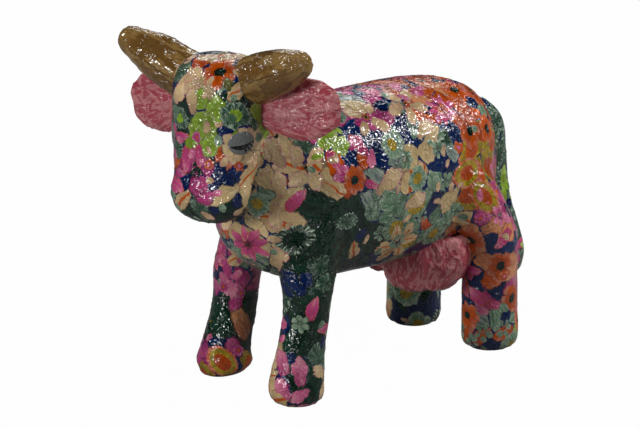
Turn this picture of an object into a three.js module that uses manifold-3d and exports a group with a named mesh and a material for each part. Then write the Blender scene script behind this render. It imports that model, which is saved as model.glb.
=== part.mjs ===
// Papier-mache cow, about 240 mm from nose to tail, standing on four round feet.
// Millimetres, +Z up. The nose points along -Y and the cow's left side along +X.
// The origin is on the floor, in the middle of the finished model's box.

import * as THREE from 'three';
import { mergeVertices } from 'three/addons/utils/BufferGeometryUtils.js';
import Module from 'manifold-3d';

const wasm = await Module();
wasm.setup();

// Stance
const TRACK = 67; // between the left and right feet
const WHEELBASE = 160; // between the front and rear feet
const FRONT_FOOT_LEAD = 7.5; // a front foot stands this far ahead of its shoulder

// Trunk
const BACK_HEIGHT = 170;
const BELLY_HEIGHT = 61;
const TRUNK_WIDTH = 87;
const CHEST_OVERHANG = 21; // chest ahead of the front feet
const RUMP_OVERHANG = 26.5; // rump behind the rear feet

// Legs and feet
const FRONT_LEG_RADIUS = 13.8;
const REAR_LEG_RADIUS = 17;
const FRONT_FOOT_RADIUS = 16.5;
const REAR_FOOT_RADIUS = 17;
const FOOT_EDGE = 6; // rounding of a foot's lower edge
const ANKLE_HEIGHT = 34;
const SOLE_DEPTH = 7;
const SOLE_PLUG = 5; // how far a sole reaches up into its leg
const LEG_JOINT_DROP = 2; // a leg's joint lies this far below the belly
const LEG_ROOT = 8; // a leg's form runs this far up inside the trunk
const TOE_TILT = 10; // degrees that the right front heel is lifted
const RIGHT_LEG_TRAIL = 5; // the right front leg stands this far behind the left one

// Neck
const NECK_WIDTH = 62;
const NECK_DEPTH = 70;
const SLEEVE_RADIUS = 17;

// Head
const HEAD_HEIGHT = 97;
const HEAD_WIDTH = 58;
const HEAD_DEPTH = 51;
const MUZZLE_WIDTH = 51;
const MUZZLE_DEPTH = 28;
const MUZZLE_LEAD = 4.5; // the muzzle stands this far ahead of the brow
const CHIN_HEIGHT = 112;
const HEAD_LEAD = 34.5; // the head's axis lies this far ahead of the front feet
const HEAD_YAW = 10; // degrees, towards the cow's left
const HEAD_ROLL = 1.5; // degrees, left side raised

// Horns
const HORN_LENGTH = 51;
const HORN_BASE_RADIUS = 14.6;
const HORN_TIP_RADIUS = 8.6;
const LEFT_HORN_RISE = 21.5; // degrees above level
const RIGHT_HORN_RISE = 26;
const HORN_SWEEP = 12; // degrees forwards
const LEFT_HORN_DROP = 13;
const RIGHT_HORN_DROP = 17; // root below the top of the head
const HORN_PEG_RADIUS = 3.5;
const HORN_PEG_LENGTH = 26;

// Ears
const EAR_LENGTH = 54;
const EAR_HEIGHT = 38;
const EAR_THICKNESS = 10;
const EAR_DROP = 31; // root below the top of the head
const EAR_SWEEP = 10; // degrees backwards
const LEFT_EAR_LIFT = 8; // degrees above level
const RIGHT_EAR_LIFT = -10;

// Udder
const UDDER_WIDTH = 76;
const UDDER_LENGTH = 56;
const UDDER_DROP = 23; // below the belly
const UDDER_LEAD = 33; // ahead of the rear feet

// Tail
const TAIL_WIDTH = 17;
const TAIL_THICKNESS = 22;
const TAIL_TUFT_WIDTH = 24;
const TAIL_END_HEIGHT = 46;

// Eyelids
const EYELID_LENGTH = 16;
const EYELID_HEIGHT = 13.5;
const EYELID_THICKNESS = 1;
const EYE_DROP = 47; // below the top of the head

// Paper, joints and fits
const WALL = 3.2;
const SPIGOT_WALL = 2;
const SPIGOT_HEIGHT = 9;
const SLEEVE_WALL = 2;
const SLEEVE_LENGTH = 44;
const STRIP_WIDTH = 20;
const STRIP_THICKNESS = 1.2;
const FIT_GAP = 0.3;

// Places worked out from the sizes above
const SIDE_X = TRACK / 2;
const FRONT_Y = -WHEELBASE / 2;
const REAR_Y = WHEELBASE / 2;
const SHOULDER_Y = FRONT_Y + FRONT_FOOT_LEAD;
const CHEST_Y = FRONT_Y - CHEST_OVERHANG;
const RUMP_Y = REAR_Y + RUMP_OVERHANG;
const TRUNK_LENGTH = RUMP_Y - CHEST_Y;
const TRUNK_HEIGHT = BACK_HEIGHT - BELLY_HEIGHT;
const LEG_JOINT_Z = BELLY_HEIGHT - LEG_JOINT_DROP;
const SIDE_HEIGHT = BACK_HEIGHT - LEG_JOINT_Z;
const TUBE_WALL = WALL + FIT_GAP + SPIGOT_WALL; // a leg's, whose spigot fits in a stub
const HEAD_PIVOT = new THREE.Vector3(0, FRONT_Y - HEAD_LEAD, CHIN_HEIGHT + HEAD_HEIGHT / 2);
const HEAD_TOP = HEAD_HEIGHT / 2; // above the pivot

const X = new THREE.Vector3(1, 0, 0);
const Y = new THREE.Vector3(0, 1, 0);
const Z = new THREE.Vector3(0, 0, 1);
const degrees = THREE.MathUtils.degToRad;

// Fineness of a skin: points round a ring, and rings from one station to the next
const OUTSIDE = { around: 24, between: 2 };
const FLANK = { around: 16, between: 1 };
const SMALL = { around: 14, between: 1 };
const INSIDE = { around: 12, between: 1 };

// Solids and booleans

function solid(geometry) {
  const bare = geometry.clone();
  bare.deleteAttribute('normal');
  bare.deleteAttribute('uv');
  const merged = mergeVertices(bare, 1e-5);
  return new wasm.Manifold(new wasm.Mesh({
    numProp: 3,
    vertProperties: new Float32Array(merged.attributes.position.array),
    triVerts: new Uint32Array(merged.index.array),
  }));
}

function union(solids) {
  return solids.reduce((whole, next) => whole.add(next));
}

// The half of space on the side of a plane that its normal points to
function halfSpace(point, normal) {
  const reach = 4 * (TRUNK_LENGTH + CHIN_HEIGHT + HEAD_HEIGHT);
  const geometry = new THREE.BoxGeometry(reach, reach, reach).translate(0, 0, reach / 2);
  geometry.applyQuaternion(new THREE.Quaternion().setFromUnitVectors(Z, normal));
  return solid(geometry.translate(point.x, point.y, point.z));
}

// A skin drawn over stations. A station is a squared ellipse: its centre, the two unit
// directions of its plane, its half sizes along them, and the power that squares it.
// A dome closes an end that has one, and a flat disc closes the other ends.

function blend(before, from, to, after, t) {
  const t2 = t * t;
  const t3 = t2 * t;
  return (2 * t3 - 3 * t2 + 1) * from + (t3 - 2 * t2 + t) * (to - before) / 2
    + (3 * t2 - 2 * t3) * to + (t3 - t2) * (after - from) / 2;
}

function blendVector(before, from, to, after, t) {
  return new THREE.Vector3(
    blend(before.x, from.x, to.x, after.x, t),
    blend(before.y, from.y, to.y, after.y, t),
    blend(before.z, from.z, to.z, after.z, t),
  );
}

function ringsBetween(stations, between) {
  const rings = [];
  for (let i = 0; i < stations.length - 1; i += 1) {
    const from = stations[i];
    const to = stations[i + 1];
    const before = stations[Math.max(i - 1, 0)];
    const after = stations[Math.min(i + 2, stations.length - 1)];
    for (let step = 0; step < between; step += 1) {
      const t = step / between;
      rings.push({
        at: blendVector(before.at, from.at, to.at, after.at, t),
        across: blendVector(before.across, from.across, to.across, after.across, t).normalize(),
        up: blendVector(before.up, from.up, to.up, after.up, t).normalize(),
        wide: blend(before.wide, from.wide, to.wide, after.wide, t),
        deep: blend(before.deep, from.deep, to.deep, after.deep, t),
        power: blend(before.power, from.power, to.power, after.power, t),
      });
    }
  }
  rings.push(stations[stations.length - 1]);
  return rings;
}

function grown(ring, grow) {
  const least = FIT_GAP;
  return { ...ring, wide: Math.max(ring.wide + grow, least), deep: Math.max(ring.deep + grow, least) };
}

// The rings that close an end: ever smaller over a dome, or one moved out with the growth
function endRings(ring, outward, dome, grow) {
  const base = grown(ring, grow);
  if (dome === 0) {
    const at = ring.at.clone().addScaledVector(outward, grow);
    return { rings: [{ ...base, at }], tip: at };
  }
  const height = Math.max(dome + grow, FIT_GAP);
  const rings = [0, 30, 60].map((turn) => ({
    ...base,
    at: ring.at.clone().addScaledVector(outward, height * Math.sin(degrees(turn))),
    wide: base.wide * Math.cos(degrees(turn)),
    deep: base.deep * Math.cos(degrees(turn)),
  }));
  return { rings, tip: ring.at.clone().addScaledVector(outward, height) };
}

function ringPoints(ring, around) {
  const reach = (value) => Math.sign(value) * Math.abs(value) ** (2 / ring.power);
  return Array.from({ length: around }, (_, k) => {
    const angle = (2 * Math.PI * k) / around;
    return ring.at.clone()
      .addScaledVector(ring.across, ring.wide * reach(Math.cos(angle)))
      .addScaledVector(ring.up, ring.deep * reach(Math.sin(angle)));
  });
}

function loft(stations, { around, between }, { grow = 0, startDome = 0, endDome = 0 } = {}) {
  const middle = ringsBetween(stations, between);
  const last = middle.length - 1;
  const direction = (from, to) => middle[to].at.clone().sub(middle[from].at).normalize();
  const start = endRings(middle[0], direction(1, 0), startDome, grow);
  const end = endRings(middle[last], direction(last - 1, last), endDome, grow);
  const rings = [
    ...start.rings.reverse(),
    ...middle.slice(1, last).map((ring) => grown(ring, grow)),
    ...end.rings,
  ];
  const points = rings.flatMap((ring) => ringPoints(ring, around));
  const startTip = points.push(start.tip) - 1;
  const endTip = points.push(end.tip) - 1;
  const top = (rings.length - 1) * around;
  const faces = [];
  for (let k = 0; k < around; k += 1) {
    const next = (k + 1) % around;
    for (let row = 0; row < top; row += around) {
      faces.push(row + k, row + next, row + around + next);
      faces.push(row + k, row + around + next, row + around + k);
    }
    faces.push(startTip, next, k);
    faces.push(endTip, top + k, top + next);
  }
  return closedSkin(points, faces);
}

// Turns every face over if the skin encloses a negative volume
function closedSkin(points, faces) {
  let volume = 0;
  for (let i = 0; i < faces.length; i += 3) {
    const [a, b, c] = [points[faces[i]], points[faces[i + 1]], points[faces[i + 2]]];
    volume += a.dot(b.clone().cross(c));
  }
  const geometry = new THREE.BufferGeometry();
  const places = points.flatMap((point) => [point.x, point.y, point.z]);
  geometry.setAttribute('position', new THREE.Float32BufferAttribute(places, 3));
  geometry.setIndex(volume < 0 ? faces.reverse() : faces);
  return solid(geometry);
}

// Trunk: sections across the cow from chest to rump. Their places are shares of the
// trunk's length and height, and their widths shares of its width.

const TRUNK_PROFILE = [
  { along: 0.01, width: 0.33, low: 0.32, high: 0.6, power: 2 },
  { along: 0.04, width: 0.61, low: 0.21, high: 0.77, power: 2.1 },
  { along: 0.1, width: 0.83, low: 0.12, high: 0.92, power: 2.2 },
  { along: 0.2, width: 0.955, low: 0.045, high: 1, power: 2.3 },
  { along: 0.35, width: 1, low: 0.01, high: 0.99, power: 2.3 },
  { along: 0.55, width: 1, low: 0, high: 1, power: 2.3 },
  { along: 0.72, width: 0.965, low: 0, high: 0.985, power: 2.3 },
  { along: 0.84, width: 0.865, low: 0.03, high: 0.945, power: 2.2 },
  { along: 0.92, width: 0.64, low: 0.06, high: 0.87, power: 2.1 },
  { along: 0.965, width: 0.42, low: 0.11, high: 0.77, power: 2 },
  { along: 0.99, width: 0.25, low: 0.2, high: 0.66, power: 2 },
];

function trunkForm(grow, fineness) {
  const stations = TRUNK_PROFILE.map(({ along, width, low, high, power }) => ({
    at: new THREE.Vector3(
      0, CHEST_Y + TRUNK_LENGTH * along, BELLY_HEIGHT + TRUNK_HEIGHT * (low + high) / 2),
    across: X,
    up: Z,
    wide: width * TRUNK_WIDTH / 2,
    deep: TRUNK_HEIGHT * (high - low) / 2,
    power,
  }));
  const dome = TRUNK_LENGTH * 0.01;
  return loft(stations, fineness, { grow, startDome: dome, endDome: dome });
}

// Shoulders and haunches: level sections that rise from a leg into the trunk's side,
// lean towards the middle of the cow, and swell. Their sizes are shares of the leg's radius.

const SHOULDER_PROFILE = [
  { rise: -0.06, inward: 0, along: 0, width: 1, depth: 1 },
  { rise: 0.07, inward: 0.01, along: 0.012, width: 1.04, depth: 1.14 },
  { rise: 0.23, inward: 0.17, along: 0.045, width: 1.22, depth: 1.5 },
  { rise: 0.44, inward: 0.33, along: 0.076, width: 1.45, depth: 1.83 },
  { rise: 0.67, inward: 0.5, along: 0.108, width: 1.23, depth: 1.6 },
];

const HAUNCH_PROFILE = [
  { rise: -0.06, inward: 0, along: 0, width: 1, depth: 1 },
  { rise: 0.06, inward: 0.01, along: -0.008, width: 1.06, depth: 1.1 },
  { rise: 0.19, inward: 0.11, along: -0.045, width: 1.19, depth: 1.32 },
  { rise: 0.41, inward: 0.29, along: -0.12, width: 1.3, depth: 1.5 },
  { rise: 0.62, inward: 0.48, along: -0.165, width: 1.17, depth: 1.38 },
];

function levelStation(x, y, z, wide, deep) {
  return { at: new THREE.Vector3(x, y, z), across: X, up: Y, wide, deep, power: 2 };
}

function flankForm({ profile, side, topY, shaft }, grow) {
  const stations = profile.map(({ rise, inward, along, width, depth }) => levelStation(
    side * SIDE_X * (1 - inward), topY + WHEELBASE * along, LEG_JOINT_Z + SIDE_HEIGHT * rise,
    shaft * width, shaft * depth));
  return loft(stations, FLANK, { grow, endDome: SIDE_HEIGHT * 0.12 });
}

// A leg stands on its foot. The right front foot is tipped forward on its toe.

const LEGS = [
  { name: 'front_left', side: 1, footY: FRONT_Y, topY: SHOULDER_Y, tilt: 0,
    shaft: FRONT_LEG_RADIUS, foot: FRONT_FOOT_RADIUS, profile: SHOULDER_PROFILE },
  { name: 'front_right', side: -1, tilt: TOE_TILT,
    footY: FRONT_Y + RIGHT_LEG_TRAIL, topY: SHOULDER_Y + RIGHT_LEG_TRAIL,
    shaft: FRONT_LEG_RADIUS, foot: FRONT_FOOT_RADIUS, profile: SHOULDER_PROFILE },
  { name: 'rear_left', side: 1, footY: REAR_Y, topY: REAR_Y, tilt: 0,
    shaft: REAR_LEG_RADIUS, foot: REAR_FOOT_RADIUS, profile: HAUNCH_PROFILE },
  { name: 'rear_right', side: -1, footY: REAR_Y, topY: REAR_Y, tilt: 0,
    shaft: REAR_LEG_RADIUS, foot: REAR_FOOT_RADIUS, profile: HAUNCH_PROFILE },
];

// The flat under a foot: its centre, the directions across it, and its normal
function footPlane(leg) {
  const tilt = new THREE.Quaternion().setFromAxisAngle(
    new THREE.Vector3(1, leg.side, 0).normalize(), degrees(leg.tilt));
  const lift = (leg.foot - FOOT_EDGE) * Math.sin(degrees(leg.tilt));
  return {
    at: new THREE.Vector3(leg.side * SIDE_X, leg.footY, lift),
    across: X.clone().applyQuaternion(tilt),
    up: Y.clone().applyQuaternion(tilt),
    normal: Z.clone().applyQuaternion(tilt),
  };
}

function legForm(leg, grow) {
  const x = leg.side * SIDE_X;
  const plane = footPlane(leg);
  const footStation = (height, inset) => ({
    ...plane,
    at: plane.at.clone().addScaledVector(plane.normal, height),
    wide: leg.foot - inset,
    deep: leg.foot - inset,
    power: 2,
  });
  const corner = FOOT_EDGE * (1 - Math.SQRT1_2);
  return loft([
    footStation(0, FOOT_EDGE),
    footStation(corner, corner),
    footStation(FOOT_EDGE, 0),
    footStation(2 * FOOT_EDGE, 0),
    levelStation(x, (leg.footY + leg.topY) / 2, ANKLE_HEIGHT, leg.shaft, leg.shaft),
    levelStation(x, leg.topY, LEG_JOINT_Z - SOLE_DEPTH, leg.shaft, leg.shaft),
    levelStation(x, leg.topY, LEG_JOINT_Z + LEG_ROOT, leg.shaft, leg.shaft),
  ], FLANK, { grow });
}

// Neck: sections square to a straight axis that runs from the trunk into the head

const NECK_FROM = new THREE.Vector3(0, SHOULDER_Y + TRUNK_LENGTH * 0.1, BELLY_HEIGHT + TRUNK_HEIGHT * 0.55);
const NECK_TO = HEAD_PIVOT.clone().add(new THREE.Vector3(0, HEAD_DEPTH * 0.35, HEAD_HEIGHT * 0.13));
const NECK_AXIS = NECK_TO.clone().sub(NECK_FROM).normalize();
const NECK_CREST = new THREE.Vector3().crossVectors(X, NECK_AXIS);

const NECK_PROFILE = [
  { along: 0, width: 1.24, depth: 1.28 },
  { along: 0.33, width: 1.13, depth: 1.17 },
  { along: 0.66, width: 1, depth: 1 },
  { along: 1, width: 0.77, depth: 0.74 },
];

function neckStation(along, wide, deep) {
  return { at: NECK_FROM.clone().lerp(NECK_TO, along), across: X, up: NECK_CREST, wide, deep, power: 2.2 };
}

function neckForm(grow) {
  const stations = NECK_PROFILE.map(({ along, width, depth }) => (
    neckStation(along, width * NECK_WIDTH / 2, depth * NECK_DEPTH / 2)));
  return loft(stations, OUTSIDE, { grow });
}

// A round tube's outside, on the neck's axis, about the place where neck and head meet
function sleeveForm(grow, length) {
  const ring = neckStation(0.76, SLEEVE_RADIUS, SLEEVE_RADIUS);
  const station = (reach) => ({ ...ring, at: ring.at.clone().addScaledVector(NECK_AXIS, reach), power: 2 });
  return loft([station(-length / 2), station(length / 2)], FLANK, { grow });
}

// Head: sections from poll to chin, turned and tilted about a point in its middle

const HEAD_TURN = new THREE.Quaternion().setFromEuler(
  new THREE.Euler(0, degrees(-HEAD_ROLL), degrees(HEAD_YAW), 'ZYX'));

function headPoint(x, y, z) {
  return new THREE.Vector3(x, y, z).applyQuaternion(HEAD_TURN).add(HEAD_PIVOT);
}

function headDirection(x, y, z) {
  return new THREE.Vector3(x, y, z).normalize().applyQuaternion(HEAD_TURN);
}

// Down from the poll, in shares of the head's height. The brow's sections are shares of
// the head's width and depth, and the muzzle's of its own.
const BROW_PROFILE = [
  { down: 0.02, width: 0.64, front: 0.21, back: 0.72, power: 2.3 },
  { down: 0.08, width: 0.93, front: 0.07, back: 0.91, power: 2.6 },
  { down: 0.2, width: 1, front: 0, back: 1, power: 2.8 },
  { down: 0.38, width: 1.02, front: 0, back: 1.02, power: 2.8 },
  { down: 0.57, width: 0.96, front: -0.01, back: 0.88, power: 2.8 },
];
const MUZZLE_PROFILE = [
  { down: 0.72, width: 0.99, front: 0.09, back: 1.23, power: 2.6 },
  { down: 0.84, width: 1, front: 0, back: 1, power: 2.5 },
  { down: 0.94, width: 0.84, front: 0.07, back: 0.86, power: 2.4 },
  { down: 0.985, width: 0.52, front: 0.21, back: 0.68, power: 2.2 },
];

function headForm(grow, fineness) {
  const section = (face, wide, deep) => ({ down, width, front, back, power }) => ({
    at: headPoint(0, face + deep * (front + back) / 2, HEAD_TOP - HEAD_HEIGHT * down),
    across: headDirection(1, 0, 0),
    up: headDirection(0, 1, 0),
    wide: width * wide / 2,
    deep: deep * (back - front) / 2,
    power,
  });
  const face = -HEAD_DEPTH * 0.28;
  const stations = [
    ...BROW_PROFILE.map(section(face, HEAD_WIDTH, HEAD_DEPTH)),
    ...MUZZLE_PROFILE.map(section(face - MUZZLE_LEAD, MUZZLE_WIDTH, MUZZLE_DEPTH)),
  ];
  const dome = HEAD_HEIGHT * 0.015;
  return loft(stations, fineness, { grow, startDome: dome, endDome: dome });
}

// Horns: fat tapering cones with round tips, rooted inside the head on pegs

function hornStation(side, reach, radius) {
  const rise = degrees(side > 0 ? LEFT_HORN_RISE : RIGHT_HORN_RISE);
  const drop = side > 0 ? LEFT_HORN_DROP : RIGHT_HORN_DROP;
  const sweep = degrees(HORN_SWEEP);
  const axis = headDirection(
    side * Math.cos(sweep) * Math.cos(rise), -Math.sin(sweep) * Math.cos(rise), Math.sin(rise));
  const up = new THREE.Vector3().crossVectors(headDirection(0, 1, 0), axis).normalize();
  const root = headPoint(side * HEAD_WIDTH * 0.4, HEAD_DEPTH * 0.2, HEAD_TOP - drop);
  return {
    at: root.addScaledVector(axis, reach),
    across: new THREE.Vector3().crossVectors(axis, up),
    up,
    wide: radius,
    deep: radius,
    power: 2,
  };
}

function hornForm(side, grow) {
  const middle = HORN_BASE_RADIUS * 0.75 + HORN_TIP_RADIUS * 0.25;
  return loft([
    hornStation(side, -HORN_LENGTH * 0.1, HORN_BASE_RADIUS),
    hornStation(side, HORN_LENGTH * 0.1, HORN_BASE_RADIUS),
    hornStation(side, HORN_LENGTH * 0.5, middle),
    hornStation(side, HORN_LENGTH - HORN_TIP_RADIUS, HORN_TIP_RADIUS),
  ], SMALL, { grow, endDome: HORN_TIP_RADIUS });
}

function hornPegForm(side, grow) {
  return loft([
    hornStation(side, -HORN_PEG_LENGTH / 2, HORN_PEG_RADIUS),
    hornStation(side, HORN_PEG_LENGTH / 2, HORN_PEG_RADIUS),
  ], INSIDE, { grow });
}

// Ears: flat lobes, tallest past the middle, rooted inside the head behind the horns

const EAR_PROFILE = [
  { along: 0, height: 0.36, thickness: 1.1 },
  { along: 0.25, height: 0.74, thickness: 1.1 },
  { along: 0.5, height: 1, thickness: 1 },
  { along: 0.75, height: 0.86, thickness: 0.9 },
  { along: 0.93, height: 0.58, thickness: 0.6 },
];

function earForm(side, lift, grow) {
  const sweep = degrees(EAR_SWEEP);
  const rise = degrees(lift);
  const axis = headDirection(
    side * Math.cos(sweep) * Math.cos(rise), Math.sin(sweep) * Math.cos(rise), Math.sin(rise));
  const across = new THREE.Vector3().crossVectors(axis, Z).normalize();
  const up = new THREE.Vector3().crossVectors(across, axis);
  const root = headPoint(side * HEAD_WIDTH * 0.42, HEAD_DEPTH * 0.22, HEAD_TOP - EAR_DROP);
  const stations = EAR_PROFILE.map(({ along, height, thickness }) => ({
    at: root.clone().addScaledVector(axis, EAR_LENGTH * along),
    across,
    up,
    wide: thickness * EAR_THICKNESS / 2,
    deep: height * EAR_HEIGHT / 2,
    power: 2,
  }));
  return loft(stations, SMALL, { grow, endDome: EAR_LENGTH * 0.07 });
}

// Udder: three lumps pressed together under the belly. Places and sizes are shares of the
// udder's width, length and depth.

const UDDER_LUMPS = [
  { x: 0.12, ahead: 0, width: 0.36, length: 0.5, low: 1 },
  { x: -0.25, ahead: 0.07, width: 0.24, length: 0.36, low: 0.72 },
  { x: 0.31, ahead: -0.05, width: 0.2, length: 0.32, low: 0.8 },
];

function udderForm() {
  return union(UDDER_LUMPS.map(({ x, ahead, width, length, low }) => {
    const y = REAR_Y - UDDER_LEAD - ahead * UDDER_LENGTH;
    const bottom = BELLY_HEIGHT - UDDER_DROP * low;
    const dome = UDDER_DROP * 0.4;
    const wide = width * UDDER_WIDTH;
    const deep = length * UDDER_LENGTH;
    return loft([
      levelStation(x * UDDER_WIDTH, y, BELLY_HEIGHT + UDDER_DROP * 0.6, wide * 0.92, deep * 0.88),
      levelStation(x * UDDER_WIDTH, y, BELLY_HEIGHT, wide, deep),
      levelStation(x * UDDER_WIDTH, y, bottom + dome, wide * 0.82, deep * 0.85),
    ], SMALL, { endDome: dome });
  }));
}

// Tail: a thick strip down the middle of the rump that ends in a tuft on the left hock

function tailForm() {
  const top = BELLY_HEIGHT + TRUNK_HEIGHT * 0.76;
  const drop = top - TAIL_END_HEIGHT;
  const places = [
    { x: 0.2, back: -0.64, down: 0.04, wide: TAIL_WIDTH },
    { x: 0.26, back: -0.26, down: 0.13, wide: TAIL_WIDTH },
    { x: 0.3, back: -0.16, down: 0.34, wide: TAIL_WIDTH },
    { x: 0.4, back: -0.19, down: 0.58, wide: TAIL_WIDTH },
    { x: 0.56, back: -0.12, down: 0.78, wide: (TAIL_WIDTH + TAIL_TUFT_WIDTH) / 2 },
    { x: 0.66, back: -0.12, down: 0.92, wide: TAIL_TUFT_WIDTH },
    { x: 0.7, back: -0.22, down: 1, wide: TAIL_TUFT_WIDTH * 0.8 },
  ];
  const centres = places.map(({ x, back, down }) => (
    new THREE.Vector3(x * SIDE_X, RUMP_Y + back * TAIL_THICKNESS, top - drop * down)));
  const stations = places.map(({ wide }, i) => {
    const ahead = centres[Math.min(i + 1, centres.length - 1)];
    const behind = centres[Math.max(i - 1, 0)];
    const along = ahead.clone().sub(behind).normalize();
    const across = new THREE.Vector3().crossVectors(along, Y).normalize();
    const up = new THREE.Vector3().crossVectors(across, along);
    return { at: centres[i], across, up, wide: wide / 2, deep: TAIL_THICKNESS / 2, power: 2.2 };
  });
  const dome = TAIL_THICKNESS / 3;
  return loft(stations, SMALL, { startDome: dome, endDome: dome });
}

// Eyelids: oval patches that lie just outside the head

function eyelid(side) {
  const outward = headDirection(side, -0.66, 0.02);
  const along = new THREE.Vector3().crossVectors(outward, headDirection(0, 0, 1)).normalize();
  const station = (reach) => ({
    at: headPoint(0, HEAD_DEPTH * 0.22, HEAD_TOP - EYE_DROP).addScaledVector(outward, reach),
    across: along,
    up: new THREE.Vector3().crossVectors(along, outward),
    wide: EYELID_LENGTH / 2,
    deep: EYELID_HEIGHT / 2,
    power: 2,
  });
  const plug = loft([station(HEAD_WIDTH / 8), station(HEAD_WIDTH)], SMALL);
  return plug.intersect(headForm(FIT_GAP + EYELID_THICKNESS, OUTSIDE)).subtract(headForm(FIT_GAP, OUTSIDE));
}

// The trunk with its neck and its four legs, grown or shrunk as one
function bodyForm(grow, fineness, neck) {
  const flanks = LEGS.flatMap((leg) => [flankForm(leg, grow), legForm(leg, grow)]);
  return union([trunkForm(grow, fineness), neck, ...flanks]);
}

const bodyOuter = bodyForm(0, OUTSIDE, neckForm(0));
const bodyClear = bodyForm(FIT_GAP, OUTSIDE, neckForm(FIT_GAP));
const sleeveBore = sleeveForm(FIT_GAP, SLEEVE_LENGTH + 2 * FIT_GAP);
const bodyInner = bodyForm(-WALL, INSIDE, sleeveBore);
const headOuter = headForm(0, OUTSIDE);
const headClear = headForm(FIT_GAP, OUTSIDE);

// Trunk shells: both halves of the hollow trunk, open where the neck meets the head

const seamSide = (side) => halfSpace(new THREE.Vector3(side * FIT_GAP / 2, 0, 0), new THREE.Vector3(side, 0, 0));
const aboveJoint = (height) => halfSpace(new THREE.Vector3(0, 0, LEG_JOINT_Z + height), Z);
const trunkShell = bodyOuter
  .intersect(aboveJoint(FIT_GAP / 2))
  .subtract(bodyInner)
  .subtract(headClear);

// Seam strips: inside the trunk, one along the back and one along the belly

const stripSlab = halfSpace(new THREE.Vector3(-STRIP_WIDTH / 2, 0, 0), X)
  .intersect(halfSpace(new THREE.Vector3(STRIP_WIDTH / 2, 0, 0), X.clone().negate()));
const stripRange = halfSpace(new THREE.Vector3(0, SHOULDER_Y, 0), Y);
const stripBand = bodyForm(-WALL - FIT_GAP, INSIDE, sleeveBore)
  .subtract(bodyForm(-WALL - FIT_GAP - STRIP_THICKNESS, INSIDE, sleeveBore))
  .intersect(stripSlab)
  .intersect(stripRange);

// Head shells, with a bore for the neck sleeve and one for each horn peg

const headShell = headOuter
  .subtract(headForm(-WALL, INSIDE))
  .subtract(sleeveBore)
  .subtract(hornPegForm(1, FIT_GAP))
  .subtract(hornPegForm(-1, FIT_GAP));
const faceSide = (side) => halfSpace(headPoint(side * FIT_GAP / 2, 0, 0), headDirection(side, 0, 0));

// Leg tubes and their soles

function legTube(leg) {
  const plane = footPlane(leg);
  const sole = halfSpace(plane.at.clone().addScaledVector(plane.normal, SOLE_DEPTH + FIT_GAP), plane.normal);
  const below = (height) => halfSpace(new THREE.Vector3(0, 0, LEG_JOINT_Z + height), Z.clone().negate());
  const tube = legForm(leg, 0).intersect(below(-FIT_GAP / 2));
  const spigot = legForm(leg, -WALL - FIT_GAP).intersect(below(SPIGOT_HEIGHT));
  return tube.add(spigot).subtract(legForm(leg, -TUBE_WALL)).intersect(sole);
}

function legSole(leg) {
  const plane = footPlane(leg);
  const under = (height) => halfSpace(
    plane.at.clone().addScaledVector(plane.normal, height), plane.normal.clone().negate());
  const cap = legForm(leg, 0).intersect(under(SOLE_DEPTH));
  const plug = legForm(leg, -TUBE_WALL - FIT_GAP).intersect(under(SOLE_DEPTH + SOLE_PLUG));
  return cap.add(plug);
}

// The finished pieces

const SKIN = { color: 0x6f4a3f, roughness: 0.35, metalness: 0 };
const PINK = { color: 0xc4667e, roughness: 0.4, metalness: 0 };
const BRONZE = { color: 0x8a6a3c, roughness: 0.35, metalness: 0.2 };
const CARD = { color: 0xb79a72, roughness: 0.9, metalness: 0 };
const WOOD = { color: 0xc8a878, roughness: 0.7, metalness: 0 };
const GREY = { color: 0x77797d, roughness: 0.4, metalness: 0 };

const cow = new THREE.Group();

function addPiece(name, shape, finish) {
  const { numProp, vertProperties, triVerts } = shape.getMesh();
  const geometry = new THREE.BufferGeometry();
  const places = Array.from(vertProperties).filter((_, i) => i % numProp < 3);
  geometry.setAttribute('position', new THREE.Float32BufferAttribute(places, 3));
  geometry.setIndex(Array.from(triVerts));
  geometry.computeVertexNormals();
  const piece = new THREE.Mesh(geometry, new THREE.MeshStandardMaterial(finish));
  piece.name = name;
  cow.add(piece);
}

const SIDES = [
  { name: 'left', side: 1, earLift: LEFT_EAR_LIFT },
  { name: 'right', side: -1, earLift: RIGHT_EAR_LIFT },
];

for (const { name, side, earLift } of SIDES) {
  const horn = hornForm(side, 0).subtract(headClear).subtract(hornPegForm(side, FIT_GAP));
  const ear = earForm(side, earLift, 0)
    .subtract(headClear)
    .subtract(hornForm(side, FIT_GAP))
    .subtract(bodyClear);
  addPiece(`trunk_shell_${name}`, trunkShell.intersect(seamSide(side)), SKIN);
  addPiece(`head_shell_${name}`, headShell.intersect(faceSide(side)), SKIN);
  addPiece(`horn_${name}`, horn, BRONZE);
  addPiece(`horn_peg_${name}`, hornPegForm(side, 0), WOOD);
  addPiece(`ear_${name}`, ear, PINK);
  addPiece(`eyelid_${name}`, eyelid(side).subtract(earForm(side, earLift, FIT_GAP)), GREY);
}

for (const leg of LEGS) {
  addPiece(`${leg.name}_leg`, legTube(leg), SKIN);
  addPiece(`${leg.name}_sole`, legSole(leg), SKIN);
}

const mid = BELLY_HEIGHT + TRUNK_HEIGHT / 2;
addPiece('back_seam_strip', stripBand.intersect(halfSpace(new THREE.Vector3(0, 0, mid + STRIP_WIDTH), Z)), CARD);
addPiece('belly_seam_strip',
  stripBand.intersect(halfSpace(new THREE.Vector3(0, 0, mid - STRIP_WIDTH), Z.clone().negate())), CARD);
addPiece('neck_sleeve', sleeveForm(0, SLEEVE_LENGTH).subtract(sleeveForm(-SLEEVE_WALL, 2 * SLEEVE_LENGTH)), CARD);
addPiece('udder', udderForm().subtract(bodyClear), PINK);
addPiece('tail', tailForm().subtract(bodyClear), SKIN);

// Stands the cow on the floor, in the middle of its own box
const bounds = new THREE.Box3().setFromObject(cow);
const centre = bounds.getCenter(new THREE.Vector3());
cow.position.set(-centre.x, -centre.y, -bounds.min.z);

export default cow;
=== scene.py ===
import collections
import itertools
import math

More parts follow.
